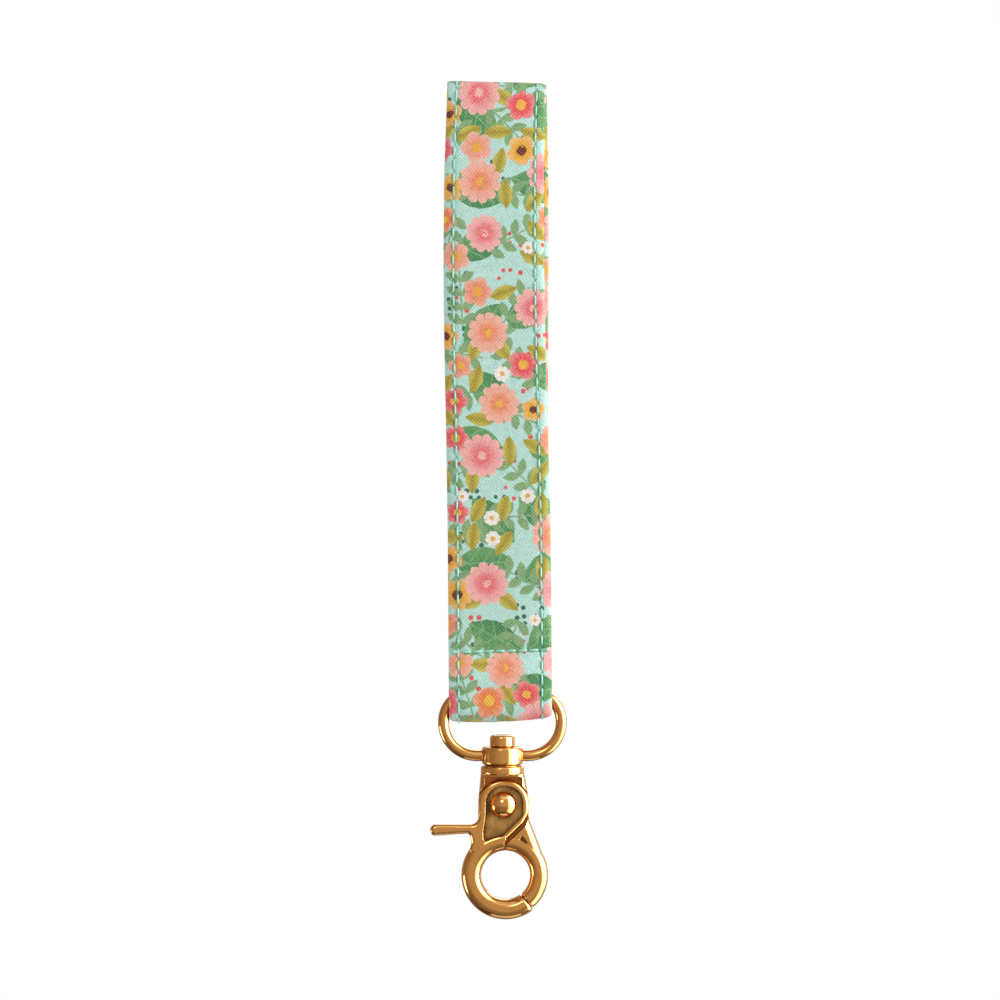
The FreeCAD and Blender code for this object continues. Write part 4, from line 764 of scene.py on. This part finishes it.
sweep = add(tree, "ShaderNodeMapRange", {0: turn, 1: -math.pi, 2: math.pi})
glow = add(tree, "ShaderNodeValToRGB", {0: sweep}, stops=WALL_TONES)
rise = add(tree, "ShaderNodeMapRange", {0: turn, 1: PANEL_NEAR_EDGE[0], 2: PANEL_NEAR_EDGE[1]},
           interpolation_type="SMOOTHSTEP")
fall = add(tree, "ShaderNodeMapRange", {0: turn, 1: PANEL_FAR_EDGE[0], 2: PANEL_FAR_EDGE[1]},
           interpolation_type="SMOOTHSTEP")
level = add(tree, "ShaderNodeMath", {0: part.outputs[2]}, operation="ABSOLUTE")
level = add(tree, "ShaderNodeMapRange", {0: level, 1: PANEL_END[0], 2: PANEL_END[1]},
            interpolation_type="SMOOTHSTEP")
panel = add(tree, "ShaderNodeMath", {0: rise, 1: fall}, operation="MULTIPLY")
panel = add(tree, "ShaderNodeMath", {0: panel, 1: level}, operation="MULTIPLY")
panel = add(tree, "ShaderNodeMapRange", {0: panel, 3: 1.0, 4: PANEL_BRIGHTNESS})
ends = add(tree, "ShaderNodeMapRange", {0: level, 3: CEILING_BRIGHTNESS, 4: 1.0})
panel = add(tree, "ShaderNodeMath", {0: panel, 1: ends}, operation="MULTIPLY")
below = add(tree, "ShaderNodeMapRange",
            {0: part.outputs[2], 1: DIMMER_FROM, 2: DIMMER_TO, 3: 1.0, 4: DIMMER_BRIGHTNESS})
panel = add(tree, "ShaderNodeMath", {0: panel, 1: below}, operation="MULTIPLY")
glow = add(tree, "ShaderNodeVectorMath", {0: glow, "Scale": panel}, operation="SCALE")
glow = add(tree, "ShaderNodeMix", {0: path.outputs["Is Glossy Ray"], 6: CLOTH_LIGHT, 7: glow}, out=2,
           data_type="RGBA")
glow = add(tree, "ShaderNodeMix", {0: path.outputs["Is Camera Ray"], 6: glow, 7: WHITE}, out=2,
           data_type="RGBA")
tree.links.new(add(tree, "ShaderNodeBackground", {0: glow, 1: 1.0}), surface.inputs[0])

# Five round soft boxes, turned to the middle of the hanging piece: each one's place and width in
# metres and its power in watts. The strongest stands at the right.
PIECE_MIDDLE = Vector((0, 0, -0.1))
LAMPS = [
    ("right_box", (0.7, -0.2, 0.0), 0.6, 6.6),
    ("left_box", (-0.55, -0.03, -0.36), 0.26, 0.9),
    ("top_box", (0.05, -0.4, 0.65), 0.9, 1.1),
    ("front_fill", (-0.25, -1.1, 0.35), 0.35, 1.3),
    ("back_fill", (0.2, 1.0, 0.3), 0.7, 2.4),
]
for name, place, width, power in LAMPS:
    light = bpy.data.lights.new(name, "AREA")
    light.shape = "DISK"
    light.size = width
    light.energy = power
    lamp = bpy.data.objects.new(name, light)
    lamp.location = place
    lamp.rotation_euler = (PIECE_MIDDLE - Vector(place)).to_track_quat("-Z", "Y").to_euler()
    bpy.context.scene.collection.objects.link(lamp)

# Camera: level with the middle of the hanging piece, square to its front.
CAMERA_DISTANCE = 0.9
FIELD_WIDTH = 0.2439
SENSOR_WIDTH = 36.0
eye = bpy.data.cameras.new("eye")
eye.sensor_width = SENSOR_WIDTH
eye.lens = SENSOR_WIDTH * CAMERA_DISTANCE / FIELD_WIDTH
view = bpy.data.objects.new("eye", eye)
view.location = (-0.000585, -CAMERA_DISTANCE, -0.09995)
view.rotation_euler = (math.radians(90), 0.0, 0.0)
bpy.context.scene.collection.objects.link(view)
bpy.context.scene.camera = view
bpy.context.scene.view_settings.view_transform = "Standard"

bpy.context.view_layer.update()
